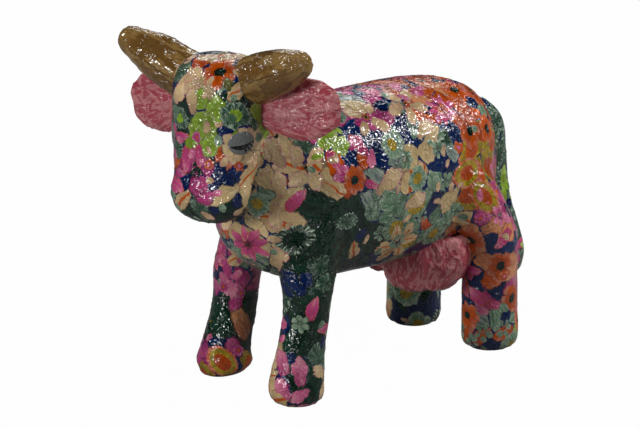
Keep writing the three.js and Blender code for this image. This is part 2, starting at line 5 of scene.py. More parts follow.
import bmesh
import bpy
import numpy as np
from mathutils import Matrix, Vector
from mathutils.bvhtree import BVHTree
from mathutils.kdtree import KDTree


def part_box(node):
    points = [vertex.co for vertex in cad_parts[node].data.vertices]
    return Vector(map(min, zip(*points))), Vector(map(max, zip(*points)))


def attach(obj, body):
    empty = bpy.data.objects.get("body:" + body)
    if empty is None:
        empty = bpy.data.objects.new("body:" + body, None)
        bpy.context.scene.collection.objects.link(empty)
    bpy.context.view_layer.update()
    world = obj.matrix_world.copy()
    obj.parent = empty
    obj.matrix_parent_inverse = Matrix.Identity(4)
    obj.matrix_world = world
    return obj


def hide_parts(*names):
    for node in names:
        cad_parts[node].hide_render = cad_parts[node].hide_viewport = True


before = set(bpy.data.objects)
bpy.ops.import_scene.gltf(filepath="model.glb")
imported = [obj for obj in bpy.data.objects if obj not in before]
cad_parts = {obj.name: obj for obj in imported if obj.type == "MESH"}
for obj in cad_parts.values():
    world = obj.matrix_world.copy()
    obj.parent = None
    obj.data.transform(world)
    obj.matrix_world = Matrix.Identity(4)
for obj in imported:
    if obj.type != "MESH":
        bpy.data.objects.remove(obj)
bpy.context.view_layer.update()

bl_info = {
    "name": "Papier-mache cow",
    "version": (1, 0, 0),
    "blender": (4, 5, 0),
    "location": "3D View > Sidebar > Cow",
    "description": "Builds a papier-mache cow covered in flowered paper, and its stage",
    "category": "Add Mesh",
}

MM = 0.001
X, Y, Z = np.eye(3)


# Sizes and colours that a user may change

def length(name, description, default):
    return bpy.props.FloatProperty(
        name=name, description=description, default=default, min=0.0, unit="LENGTH", precision=4)


def turn(name, description, default):
    return bpy.props.FloatProperty(
        name=name, description=description, default=math.radians(default), subtype="ANGLE")


def paint(name, description, *chart):
    """A colour as a paint chart gives it, from 0 to 255, in the values that a shader takes."""
    linear = [c / 12.92 if c <= 0.04045 else ((c + 0.055) / 1.055) ** 2.4
              for c in (part / 255 for part in chart)]
    return bpy.props.FloatVectorProperty(
        name=name, description=description, default=linear, min=0.0, max=1.0,
        subtype="COLOR", size=3)


class CowSizes(bpy.types.PropertyGroup):
    """Sizes of the cow"""
    track: length("Track", "Between the middles of a left and a right foot", 0.067)
    wheelbase: length("Wheelbase", "Between the middles of a front and a rear foot", 0.160)
    foot_lead: length("Foot lead", "How far a front foot stands ahead of its shoulder", 0.0075)
    back_height: length("Back height", "From the floor to the back", 0.170)
    belly_height: length("Belly height", "From the floor to the belly", 0.061)
    trunk_width: length("Trunk width", "Across the belly", 0.087)
    chest_overhang: length("Chest overhang", "Chest ahead of the front feet's line", 0.021)
    rump_overhang: length("Rump overhang", "Rump behind the rear feet's line", 0.0265)
    front_leg: length("Front leg", "Radius of a front leg", 0.0138)
    rear_leg: length("Rear leg", "Radius of a rear leg", 0.017)
    front_foot: length("Front foot", "Radius of a front foot", 0.0165)
    rear_foot: length("Rear foot", "Radius of a rear foot", 0.0172)
    foot_edge: length("Foot edge", "Radius of the edge round a foot's flat", 0.006)
    ankle_height: length("Ankle height", "From the floor to the narrow of a leg", 0.034)
    toe_tilt: turn("Toe tilt", "How far the right front foot is tipped forward", 10)
    right_leg_trail: length("Right leg trail", "Right front leg behind the left one", 0.005)
    neck_width: length("Neck width", "Across the neck, at its middle", 0.062)
    neck_depth: length("Neck depth", "From the neck's crest to its throat", 0.070)
    head_height: length("Head height", "From the poll to the chin", 0.097)
    head_width: length("Head width", "Across the brow", 0.058)
    head_depth: length("Head depth", "From the brow to the back of the head", 0.051)
    muzzle_width: length("Muzzle width", "Across the muzzle", 0.051)
    muzzle_depth: length("Muzzle depth", "From the nose to the back of the chin", 0.028)
    muzzle_lead: length("Muzzle lead", "How far the nose stands ahead of the brow", 0.0045)
    chin_height: length("Chin height", "From the floor to the chin", 0.112)
    head_lead: length("Head lead", "Head ahead of the front feet's line", 0.0345)
    head_yaw: turn("Head yaw", "Turn of the head to the cow's right", 10)
    head_roll: turn("Head roll", "Tilt of the head to one side", 1.5)
    horn_length: length("Horn length", "From a horn's root to its tip", 0.051)
    horn_base: length("Horn base", "Radius of a horn at its root", 0.0146)
    horn_tip: length("Horn tip", "Radius of a horn's tip", 0.0086)
    left_horn_rise: turn("Left horn rise", "Slope of the left horn", 21.5)
    right_horn_rise: turn("Right horn rise", "Slope of the right horn", 26)
    horn_sweep: turn("Horn sweep", "Turn of the horns towards the nose", 12)
    left_horn_drop: length("Left horn drop", "Left horn's root below the poll", 0.013)
    right_horn_drop: length("Right horn drop", "Right horn's root below the poll", 0.017)
    ear_length: length("Ear length", "From an ear's root to its tip", 0.054)
    ear_height: length("Ear height", "Across an ear", 0.038)
    ear_thickness: length("Ear thickness", "Through an ear", 0.010)
    ear_drop: length("Ear drop", "An ear's root below the poll", 0.031)
    ear_sweep: turn("Ear sweep", "Turn of the ears away from the nose", 10)
    left_ear_lift: turn("Left ear lift", "Slope of the left ear", 8)
    right_ear_lift: turn("Right ear lift", "Slope of the right ear", -10)
    eyelid_length: length("Eyelid length", "Along an eyelid", 0.016)
    eyelid_height: length("Eyelid height", "Across an eyelid", 0.0135)
    lid_tilt: turn("Lid tilt", "Slope of an eyelid, up towards the ear", 13)
    eye_drop: length("Eye drop", "An eyelid's middle below the poll", 0.047)
    udder_width: length("Udder width", "Across the udder", 0.076)
    udder_length: length("Udder length", "Along the udder", 0.056)
    udder_drop: length("Udder drop", "Udder below the belly", 0.023)
    udder_lead: length("Udder lead", "Udder ahead of the rear feet's line", 0.033)
    tail_width: length("Tail width", "Across the tail", 0.017)
    tail_thickness: length("Tail thickness", "Through the tail, with the part in the rump", 0.022)
    tail_tuft: length("Tail tuft", "Across the tuft at the tail's end", 0.024)
    tail_end: length("Tail end", "From the floor to the tail's end", 0.046)
    fineness: length("Fineness", "Width of a face of the paper skins", 0.0009)


class CowPaints(bpy.types.PropertyGroup):
    """Colours of the print and of the paints"""
    ground: paint("Ground", "Ground of the print", 6, 32, 80)
    cream: paint("Cream", "Pale petals", 206, 180, 130)
    tan: paint("Tan", "Shade on the pale petals", 158, 128, 92)
    peach: paint("Peach", "Warm pale petals", 218, 148, 100)
    magenta: paint("Magenta", "Peonies", 196, 64, 130)
    rose: paint("Rose", "Pale pink petals", 214, 118, 148)
    wine: paint("Wine", "Streaks in the peonies", 118, 24, 84)
    orange: paint("Orange", "Orange flowers", 200, 84, 6)
    rust: paint("Rust", "Streaks in the orange flowers", 160, 48, 20)
    fir: paint("Fir green", "Dark leaves", 8, 33, 23)
    leaf: paint("Leaf green", "Middle green leaves", 20, 66, 46)
    sage: paint("Sage", "Grey-green petals", 88, 124, 94)
    slate: paint("Slate", "Grey petals", 98, 110, 108)
    mist: paint("Mist", "Fine pale hairs on the leaves", 162, 182, 160)
    ochre: paint("Ochre", "Yellow flower centres", 160, 134, 34)
    olive: paint("Olive", "Rings and small leaves", 112, 110, 46)
    lime: paint("Lime", "Bright yellow-green patches", 140, 176, 44)
    pink: paint("Pink", "Ears and udder", 176, 71, 85)
    pale_pink: paint("Pale pink", "Streaks on the ears and the udder", 208, 132, 134)
    bronze: paint("Bronze", "Horns", 150, 118, 66)
    umber: paint("Umber", "Dark streaks on the horns", 112, 80, 38)
    eyelid: paint("Eyelid", "Eyelids", 110, 114, 113)
    lash: paint("Lash", "Closed eye's line and lashes", 16, 16, 17)
    card: paint("Card", "Bare card under the feet", 150, 128, 98)
    floor: paint("Floor", "Floor of the stage", 150, 150, 150)


def middle(node):
    low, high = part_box(node)
    return (np.array(low) + np.array(high)) / 2


# The floor point halfway between the four feet
CENTRE = (middle("front_left_sole") + middle("rear_right_sole")) / 2
CENTRE[2] = 0.0


# Forms, in metres from the floor point between the feet

# A station is a squared ellipse. Its row holds these
AT, ACROSS, UP = slice(0, 3), slice(3, 6), slice(6, 9)
WIDE, DEEP, POWER = 9, 10, 11
DOME_ANGLES = np.radians([0, 15, 30, 45, 60, 72, 82])
TINY = 1e-12
WELD = 1e-6


def unit(vector):
    vector = np.asarray(vector, float)
    return vector / np.linalg.norm(vector)


def about(axis, angle):
    """The matrix of a turn about an axis."""
    x, y, z = unit(axis)
    skew = np.array([[0, -z, y], [z, 0, -x], [-y, x, 0]])
    return np.eye(3) + math.sin(angle) * skew + (1 - math.cos(angle)) * skew @ skew


def station(at, across, up, wide, deep, power=2.0):
    """Its centre, its plane's two directions, its half sizes and its power."""
    return [*at, *across, *up, wide, deep, power]


def level(x, y, z, wide, deep, power=2.0):
    return station((x, y, z), X, Y, wide, deep, power)


def rings_between(stations, steps):
    """Rings on the smooth curves that join the stations."""
    rows = np.array(stations, float)
    before = np.vstack([rows[:1], rows[:-2]])
    after = np.vstack([rows[2:], rows[-1:]])
    t = (np.arange(steps) / steps)[None, :, None]
    start, end, before, after = (
        block[:, None, :] for block in (rows[:-1], rows[1:], before, after))
    rings = (
        (2 * t**3 - 3 * t**2 + 1) * start + (t**3 - 2 * t**2 + t) * (end - before) / 2
        + (3 * t**2 - 2 * t**3) * end + (t**3 - t**2) * (after - start) / 2)
    rings = np.vstack([rings.reshape(-1, rows.shape[1]), rows[-1:]])
    for way in (ACROSS, UP):
        rings[:, way] /= np.linalg.norm(rings[:, way], axis=1)[:, None]
    return rings


def domed(ring, outward, dome):
    """Ever smaller rings over a dome, and its tip."""
    rings = np.repeat(ring[None], len(DOME_ANGLES), axis=0)
    rings[:, AT] += dome * np.sin(DOME_ANGLES)[:, None] * outward
    rings[:, [WIDE, DEEP]] *= np.cos(DOME_ANGLES)[:, None]
    return rings, ring[AT] + dome * outward


def bands(rings, around):
    """The faces between rings of points."""
    near = np.arange(around)
    then = (near + 1) % around
    rows = (np.arange(rings - 1) * around)[:, None]
    return np.stack(
        [rows + near, rows + then, rows + around + then, rows + around + near], -1).reshape(-1, 4)


def loft(stations, steps=8, around=72, start_dome=0.0, end_dome=0.0):
    """A closed skin through the stations, with a dome at each end."""
    rings = rings_between(stations, steps)
    start, start_tip = domed(rings[0], unit(rings[0, AT] - rings[1, AT]), start_dome)
    end, end_tip = domed(rings[-1], unit(rings[-1, AT] - rings[-2, AT]), end_dome)
    rings = np.vstack([start[::-1], rings[1:-1], end])
    angles = 2 * np.pi * np.arange(around) / around
    points = rings[:, None, AT]
    for wave, half, way in ((np.cos(angles), WIDE, ACROSS), (np.sin(angles), DEEP, UP)):
        reach = np.sign(wave) * np.abs(wave) ** (2 / rings[:, POWER, None])
        points = points + (rings[:, half, None] * reach)[:, :, None] * rings[:, None, way]
    points = np.vstack([points.reshape(-1, 3), start_tip, end_tip])
    top = (len(rings) - 1) * around
    near = np.arange(around)
    then = (near + 1) % around
    caps = [np.stack([np.full(around, top + around), then, near, near], -1),
            np.stack([np.full(around, top + around + 1), top + near, top + then, top + then], -1)]
    return Skin(points, np.vstack([bands(len(rings), around), *caps])).facing_out()


class Skin:
    """Points and faces. A row of corners that ends with a point twice is a triangle."""

    def __init__(self, points, corners):
        self.points = points
        self.corners = corners

    def corner_points(self):
        return (self.points[self.corners[:, k]] for k in range(4))

    def facing_out(self):
        a, b, c, d = self.corner_points()
        if (a * (np.cross(b, c) + np.cross(c, d))).sum() < 0:
            self.corners = self.corners[:, ::-1]
        return self

    def normals(self):
        a, b, c, d = self.corner_points()
        faces = np.cross(c - a, d - b)
        total = np.zeros_like(self.points)
        for corner, axis in itertools.product(range(4), range(3)):
            total[:, axis] += np.bincount(
                self.corners[:, corner], faces[:, axis], minlength=len(self.points))
        return total / np.maximum(np.linalg.norm(total, axis=1), TINY)[:, None]

    def smooth(self, rounds):
        """Moves each point halfway to the middle of its neighbours, a number of times."""
        a = self.corners.ravel()
        b = np.roll(self.corners, -1, axis=1).ravel()
        keep = a != b
        a, b = a[keep], b[keep]
        size = len(self.points)
        degree = np.bincount(a, minlength=size) + np.bincount(b, minlength=size)
        for _ in range(rounds):
            for axis in range(3):
                column = self.points[:, axis]
                mean = (np.bincount(a, column[b], minlength=size)
                        + np.bincount(b, column[a], minlength=size)) / degree
                self.points[:, axis] = column + 0.5 * (mean - column)
        return self

    def push(self, amount):
        self.points = self.points + self.normals() * amount[:, None]
        return self

    def faces(self):
        return [tuple(dict.fromkeys(row)) for row in self.corners.tolist()]

    def mesh(self, name):
        mesh = bpy.data.meshes.new(name)
        mesh.from_pydata(self.points.tolist(), [], self.faces())
        return mesh


def finder(points):
    """Finds the nearest of the points to a place."""
    tree = KDTree(len(points))
    for i, point in enumerate(points):
        tree.insert(point, i)
    tree.balance()
    return tree


def read_mesh(mesh):
    points = np.empty(len(mesh.vertices) * 3)
    mesh.vertices.foreach_get("co", points)
    corners = [(*face.vertices, face.vertices[-1])[:4] for face in mesh.polygons]
    return Skin(points.reshape(-1, 3), np.array(corners))


def added(name, data):
    """A new object in the scene."""
    thing = bpy.data.objects.new(name, data)
    bpy.context.scene.collection.objects.link(thing)
    return thing


def fused(skins, voxel):
    """One even skin round forms that run into each other."""
    starts = np.cumsum([0] + [len(skin.points) for skin in skins[:-1]])
    joined = Skin(np.vstack([skin.points for skin in skins]),
                  np.vstack([skin.corners + start for skin, start in zip(skins, starts)]))
    piece = added("forms", joined.mesh("forms"))
    remesh = piece.modifiers.new("even", "REMESH")
    remesh.mode = "VOXEL"
    remesh.voxel_size = voxel
    seen = piece.evaluated_get(bpy.context.evaluated_depsgraph_get())
    skin = read_mesh(seen.to_mesh())
    seen.to_mesh_clear()
    mesh = piece.data
    bpy.data.objects.remove(piece)
    bpy.data.meshes.remove(mesh)
    return skin


def cut(skin, *planes):
    """The part of a skin behind every plane, closed flat where it is cut."""
    shell = bmesh.new()
    mesh = skin.mesh("cut")
    shell.from_mesh(mesh)
    for at, normal in planes:
        everything = shell.verts[:] + shell.edges[:] + shell.faces[:]
        bmesh.ops.bisect_plane(
            shell, geom=everything, dist=WELD, plane_co=Vector(at), plane_no=Vector(normal),
            clear_outer=True)
        rims = [edge for edge in shell.edges if edge.is_boundary]
        bmesh.ops.holes_fill(shell, edges=rims, sides=0)
    bmesh.ops.triangulate(shell, faces=[face for face in shell.faces if len(face.verts) > 4])
    shell.to_mesh(mesh)
    shell.free()
    piece = read_mesh(mesh)
    bpy.data.meshes.remove(mesh)
    return piece


# Noise, the same on every run

SPREAD = (73856093, 19349663, 83492791, 2654435761)
SCRAMBLE = ((15, 2246822519), (13, 3266489917))
WORD = 0xFFFFFFFF


def noise(points, seed):
    """Smooth noise from about -1 to 1, with bumps about one unit apart."""
    points = np.asarray(points, float)
    cell = np.floor(points).astype(np.int64)
    inside = points - cell
    fade = inside**3 * (inside * (inside * 6 - 15) + 10)
    total = np.zeros(len(points))
    for corner in itertools.product((0, 1), repeat=3):
        at = cell + corner
        mixed = (at[:, 0] * SPREAD[0] ^ at[:, 1] * SPREAD[1] ^ at[:, 2] * SPREAD[2]
                 ^ seed * SPREAD[3]) & WORD
        for shift, factor in SCRAMBLE:
            mixed = (mixed ^ (mixed >> shift)) * factor & WORD
        mixed ^= mixed >> 16
        slopes = np.stack([mixed >> shift & 1023 for shift in (0, 10, 20)], -1) / 511.5 - 1
        weight = np.prod(np.where(corner, fade, 1 - fade), axis=1)
        total += weight * (slopes * (inside - corner)).sum(axis=1)
    return total


CREASE_WIDTH = 0.07
CREASE_WANDER = 0.6


def creases(points, seed, spacing):
    """Thin wandering lines, 1 on a line and 0 away from it."""
    bent = points / spacing + CREASE_WANDER * np.stack(
        [noise(points / spacing * 0.7, seed + k) for k in (1, 2, 3)], -1)
    return np.exp(-(noise(bent, seed) / CREASE_WIDTH) ** 2)


# Distances between what a hand leaves in pasted paper
LUMPS = (30 * MM, 13 * MM)
CREASED_PATCHES = 24 * MM
CREASES = (11 * MM, 6 * MM)


def handmade(skin, seed, lump, crease):
    """Pushes a smooth skin into soft lumps and raised creases, as pasted paper has."""
    p = skin.points
    soft = noise(p / LUMPS[0], seed) + 0.5 * noise(p / LUMPS[1], seed + 7)
    patch = np.clip(0.5 + 1.6 * noise(p / CREASED_PATCHES, seed + 11), 0, 1)
    lines = creases(p, seed + 20, CREASES[0]) + 0.6 * creases(p, seed + 30, CREASES[1])
    return skin.push(lump * soft + crease * patch * (lines - 0.3))


# The cow's forms

TRUNK_PROFILE = (
    # along, width, low, high, power
    (0.01, 0.33, 0.32, 0.6, 2), (0.04, 0.61, 0.21, 0.77, 2.1), (0.1, 0.83, 0.12, 0.92, 2.2),
    (0.2, 0.955, 0.045, 1, 2.3), (0.35, 1, 0.01, 0.99, 2.3), (0.55, 1, 0, 1, 2.3),
    (0.72, 0.965, 0, 0.985, 2.3), (0.84, 0.865, 0.03, 0.945, 2.2), (0.92, 0.64, 0.06, 0.87, 2.1),
    (0.965, 0.42, 0.11, 0.77, 2), (0.99, 0.25, 0.2, 0.66, 2),
)
SHOULDER_PROFILE = (
    # rise, inward, along, width, depth
    (-0.06, 0, 0, 1, 1), (0.07, 0.01, 0.012, 1.04, 1.14), (0.23, 0.17, 0.045, 1.22, 1.5),
    (0.44, 0.33, 0.076, 1.45, 1.83), (0.67, 0.5, 0.108, 1.23, 1.6),
)
HAUNCH_PROFILE = (
    (-0.06, 0, 0, 1, 1), (0.06, 0.01, -0.008, 1.06, 1.1), (0.19, 0.11, -0.045, 1.19, 1.32),
    (0.41, 0.29, -0.12, 1.3, 1.5), (0.62, 0.48, -0.165, 1.17, 1.38),
)
NECK_PROFILE = ((0, 1.24, 1.28), (0.33, 1.13, 1.17), (0.66, 1, 1), (1, 0.77, 0.74))
BROW_PROFILE = (
    # down, width, front, back, power
    (0.02, 0.64, 0.21, 0.72, 2.3), (0.08, 0.93, 0.07, 0.91, 2.6), (0.2, 1, 0, 1, 2.8),
    (0.38, 1.02, 0, 1.02, 2.8), (0.57, 0.96, -0.01, 0.88, 2.8),
)
MUZZLE_PROFILE = (
    (0.72, 0.99, 0.09, 1.23, 2.6), (0.84, 1, 0, 1, 2.5), (0.94, 0.84, 0.07, 0.86, 2.4),
    (0.985, 0.52, 0.21, 0.68, 2.2),
)
EAR_PROFILE = ((0, 0.5, 1.1), (0.25, 0.8, 1.1), (0.5, 1, 1), (0.75, 0.88, 0.9), (0.93, 0.6, 0.6))
UDDER_LUMPS = (
    # across, ahead, width, length, depth
    (0.12, 0, 0.36, 0.5, 1), (-0.25, 0.07, 0.24, 0.36, 0.72), (0.31, -0.05, 0.2, 0.32, 0.8),
)
TAIL_PATH = (
    # across, back, down, tuft
    (0.2, -0.64, 0.04, 0), (0.26, -0.26, 0.13, 0), (0.3, -0.16, 0.34, 0), (0.4, -0.19, 0.58, 0),
    (0.56, -0.12, 0.78, 0.5), (0.66, -0.12, 0.92, 1), (0.7, -0.22, 1, 0.6),
)
LEG_JOINT_DROP = 2 * MM
LEG_ROOT = 8 * MM
SOLE_DEPTH = 7 * MM
# Along and up the trunk, and back and up in the head
NECK_START = (0.1, 0.55)
NECK_END = (0.35, 0.13)
# How far the face's line is ahead of the head's middle, in head depths
FACE_LEAD = 0.28
# Roots on the head: out, in head widths, and back, in head depths
HORN_ROOT = (0.4, 0.2)
EAR_ROOT = (0.42, 0.22)
# Rings of a horn: along it, and how much of the base's radius is in theirs
HORN_PROFILE = ((-0.1, 1), (0.1, 1), (0.5, 0.75))
EYE_BACK = 0.22
# The tail's top, up the trunk
TAIL_ROOT = 0.76
# The heights of the end domes, in shares of each form's own length or height
TRUNK_DOME, FLANK_DOME, HEAD_DOME, EAR_DOME = 0.01, 0.12, 0.015, 0.07
UDDER_DOME, TAIL_DOME = 0.4, 1 / 3
# An udder lump's top ring above the belly's line, and the width and length of its end rings
UDDER_RISE = 0.6
UDDER_TOP = (0.92, 0.88)
UDDER_LOW = (0.82, 0.85)
SIDES = (("left", 1), ("right", -1))

Leg = collections.namedtuple("Leg", "side foot_y top_y tilt shaft foot profile")


class Plan:
    """Places worked out from the sizes."""

    def __init__(self, sizes):
        self.sizes = sizes
        self.side_x = sizes.track / 2
        self.front_y = -sizes.wheelbase / 2
        self.rear_y = sizes.wheelbase / 2
        self.shoulder_y = self.front_y + sizes.foot_lead
        self.chest_y = self.front_y - sizes.chest_overhang
        self.rump_y = self.rear_y + sizes.rump_overhang
        self.trunk_length = self.rump_y - self.chest_y
        self.trunk_height = sizes.back_height - sizes.belly_height
        self.leg_joint = sizes.belly_height - LEG_JOINT_DROP
        self.side_height = sizes.back_height - self.leg_joint
        self.head_pivot = np.array(
            [0, self.front_y - sizes.head_lead, sizes.chin_height + sizes.head_height / 2])
        self.head_top = sizes.head_height / 2
        self.head_turn = about(Z, sizes.head_yaw) @ about(Y, -sizes.head_roll)

    def legs(self):
        """Each leg by its name."""
        s = self.sizes
        front = (self.front_y, self.shoulder_y)
        trailing = (self.front_y + s.right_leg_trail, self.shoulder_y + s.right_leg_trail)
        rear = (self.rear_y, self.rear_y)
        return {
            "front_left": Leg(1, *front, 0, s.front_leg, s.front_foot, SHOULDER_PROFILE),
            "front_right": Leg(
                -1, *trailing, s.toe_tilt, s.front_leg, s.front_foot, SHOULDER_PROFILE),
            "rear_left": Leg(1, *rear, 0, s.rear_leg, s.rear_foot, HAUNCH_PROFILE),
            "rear_right": Leg(-1, *rear, 0, s.rear_leg, s.rear_foot, HAUNCH_PROFILE),
        }

    def trunk(self):
        s = self.sizes
        stations = [
            station((0, self.chest_y + self.trunk_length * along,
                     s.belly_height + self.trunk_height * (low + high) / 2),
                    X, Z, width * s.trunk_width / 2, self.trunk_height * (high - low) / 2, power)
            for along, width, low, high, power in TRUNK_PROFILE]
        dome = self.trunk_length * TRUNK_DOME
        return loft(stations, around=120, start_dome=dome, end_dome=dome)

    def flank(self, leg):
        """A shoulder or a haunch, from a leg's top into the trunk."""
        stations = [
            level(leg.side * self.side_x * (1 - inward), leg.top_y + self.sizes.wheelbase * along,
                  self.leg_joint + self.side_height * rise, leg.shaft * width, leg.shaft * depth)
            for rise, inward, along, width, depth in leg.profile]
        return loft(stations, end_dome=self.side_height * FLANK_DOME)

    def foot_plane(self, leg):
        """The middle of a foot's flat, and the turn that tips it."""
        lean = about((1, leg.side, 0), leg.tilt)
        lift = (leg.foot - self.sizes.foot_edge) * math.sin(leg.tilt)
        return np.array([leg.side * self.side_x, leg.foot_y, lift]), lean

    def shaft(self, leg):
        """A leg from its foot to the trunk."""
        x = leg.side * self.side_x
        edge = self.sizes.foot_edge
        at, lean = self.foot_plane(leg)
        corner = edge * (1 - math.sqrt(0.5))
        stations = [
            station(at + height * lean @ Z, lean @ X, lean @ Y, leg.foot - inset, leg.foot - inset)
            for height, inset in ((0, edge), (corner, corner), (edge, 0), (2 * edge, 0))]
        ankle_y = (leg.foot_y + leg.top_y) / 2
        stations.append(level(x, ankle_y, self.sizes.ankle_height, leg.shaft, leg.shaft))
        stations += [level(x, leg.top_y, self.leg_joint + rise, leg.shaft, leg.shaft)
                     for rise in (-SOLE_DEPTH, LEG_ROOT)]
        return loft(stations)

    def neck(self):
        s = self.sizes
        start = np.array([0, self.shoulder_y + self.trunk_length * NECK_START[0],
                          s.belly_height + self.trunk_height * NECK_START[1]])
        end = self.head_pivot + np.array(
            [0, s.head_depth * NECK_END[0], s.head_height * NECK_END[1]])
        crest = np.cross(X, unit(end - start))
        return loft([
            station(start + (end - start) * along, X, crest,
                    width * s.neck_width / 2, depth * s.neck_depth / 2, 2.2)
            for along, width, depth in NECK_PROFILE])

    def on_head(self, x, y, z):
        """A point of the head, given along its own axes from its middle."""
        return self.head_turn @ np.array([x, y, z]) + self.head_pivot

    def head_way(self, x, y, z):
        return self.head_turn @ unit((x, y, z))

    def head(self):
        s = self.sizes
        face = -s.head_depth * FACE_LEAD

        def section(start, wide, deep, row):
            down, width, front, back, power = row
            at = self.on_head(
                0, start + deep * (front + back) / 2, self.head_top - s.head_height * down)
            return station(at, self.head_way(1, 0, 0), self.head_way(0, 1, 0),
                           width * wide / 2, deep * (back - front) / 2, power)

        stations = [section(face, s.head_width, s.head_depth, row) for row in BROW_PROFILE]
        stations += [section(face - s.muzzle_lead, s.muzzle_width, s.muzzle_depth, row)
                     for row in MUZZLE_PROFILE]
        dome = s.head_height * HEAD_DOME
        return loft(stations, around=120, start_dome=dome, end_dome=dome)

    def from_head(self, side, root, drop, sweep, rise):
        """Where a horn or an ear starts, and its way. A sweep above 0 is towards the tail."""
        s = self.sizes
        out, back = root
        axis = self.head_way(side * math.cos(sweep) * math.cos(rise),
                             math.sin(sweep) * math.cos(rise), math.sin(rise))
        at = self.on_head(side * s.head_width * out, s.head_depth * back, self.head_top - drop)
        return at, axis

    def horn_frame(self, side):
        """A horn's root, its way, and the two ways across it."""
        s = self.sizes
        rise, drop = (s.left_horn_rise, s.left_horn_drop) if side > 0 else (
            s.right_horn_rise, s.right_horn_drop)
        root, axis = self.from_head(side, HORN_ROOT, drop, -s.horn_sweep, rise)
        up = unit(np.cross(self.head_way(0, 1, 0), axis))
        return root, axis, np.cross(axis, up), up

    def horn(self, side):
        s = self.sizes
        root, axis, across, up = self.horn_frame(side)
        rings = [(s.horn_length * reach, s.horn_base * share + s.horn_tip * (1 - share))
                 for reach, share in HORN_PROFILE]
        rings.append((s.horn_length - s.horn_tip, s.horn_tip))
        stations = [station(root + axis * reach, across, up, radius, radius)
                    for reach, radius in rings]
        return loft(stations, steps=24, around=96, end_dome=s.horn_tip)

    def ear_frame(self, side):
        """An ear's root, its way, the way through it and the way up it."""
        s = self.sizes
        lift = s.left_ear_lift if side > 0 else s.right_ear_lift
        root, axis = self.from_head(side, EAR_ROOT, s.ear_drop, s.ear_sweep, lift)
        across = unit(np.cross(axis, Z))
        return root, axis, across, np.cross(across, axis)

    def ear(self, side):
        s = self.sizes
        root, axis, across, up = self.ear_frame(side)
        stations = [
            station(root + axis * s.ear_length * along, across, up,
                    thickness * s.ear_thickness / 2, height * s.ear_height / 2)
            for along, height, thickness in EAR_PROFILE]
        return loft(stations, steps=14, around=96, end_dome=s.ear_length * EAR_DOME)

    def udder(self):
        """Its lumps, each widest at the belly."""
        s = self.sizes
        lumps = []
        dome = s.udder_drop * UDDER_DOME
        for across, ahead, width, long, low in UDDER_LUMPS:
            x, y = across * s.udder_width, self.rear_y - s.udder_lead - ahead * s.udder_length
            wide, deep = width * s.udder_width, long * s.udder_length
            rings = ((s.udder_drop * UDDER_RISE, UDDER_TOP), (0, (1, 1)),
                     (dome - s.udder_drop * low, UDDER_LOW))
            lumps.append(loft([
                level(x, y, s.belly_height + rise, wide * across, deep * along)
                for rise, (across, along) in rings], end_dome=dome))
        return lumps

    def tail(self):
        s = self.sizes
        top = s.belly_height + self.trunk_height * TAIL_ROOT
        centres = [
            np.array([across * self.side_x, self.rump_y + back * s.tail_thickness,
                      top - (top - s.tail_end) * down])
            for across, back, down, tuft in TAIL_PATH]
        stations = []
        for i, (across, back, down, tuft) in enumerate(TAIL_PATH):
            along = unit(centres[min(i + 1, len(centres) - 1)] - centres[max(i - 1, 0)])
            side = unit(np.cross(along, Y))
            wide = s.tail_width * (1 - tuft) + s.tail_tuft * tuft
            stations.append(station(
                centres[i], side, np.cross(side, along), wide / 2, s.tail_thickness / 2, 2.2))
        dome = s.tail_thickness * TAIL_DOME
        return loft(stations, steps=10, start_dome=dome, end_dome=dome)


# Print: flowers, petals and leaves laid over the paper in three layers

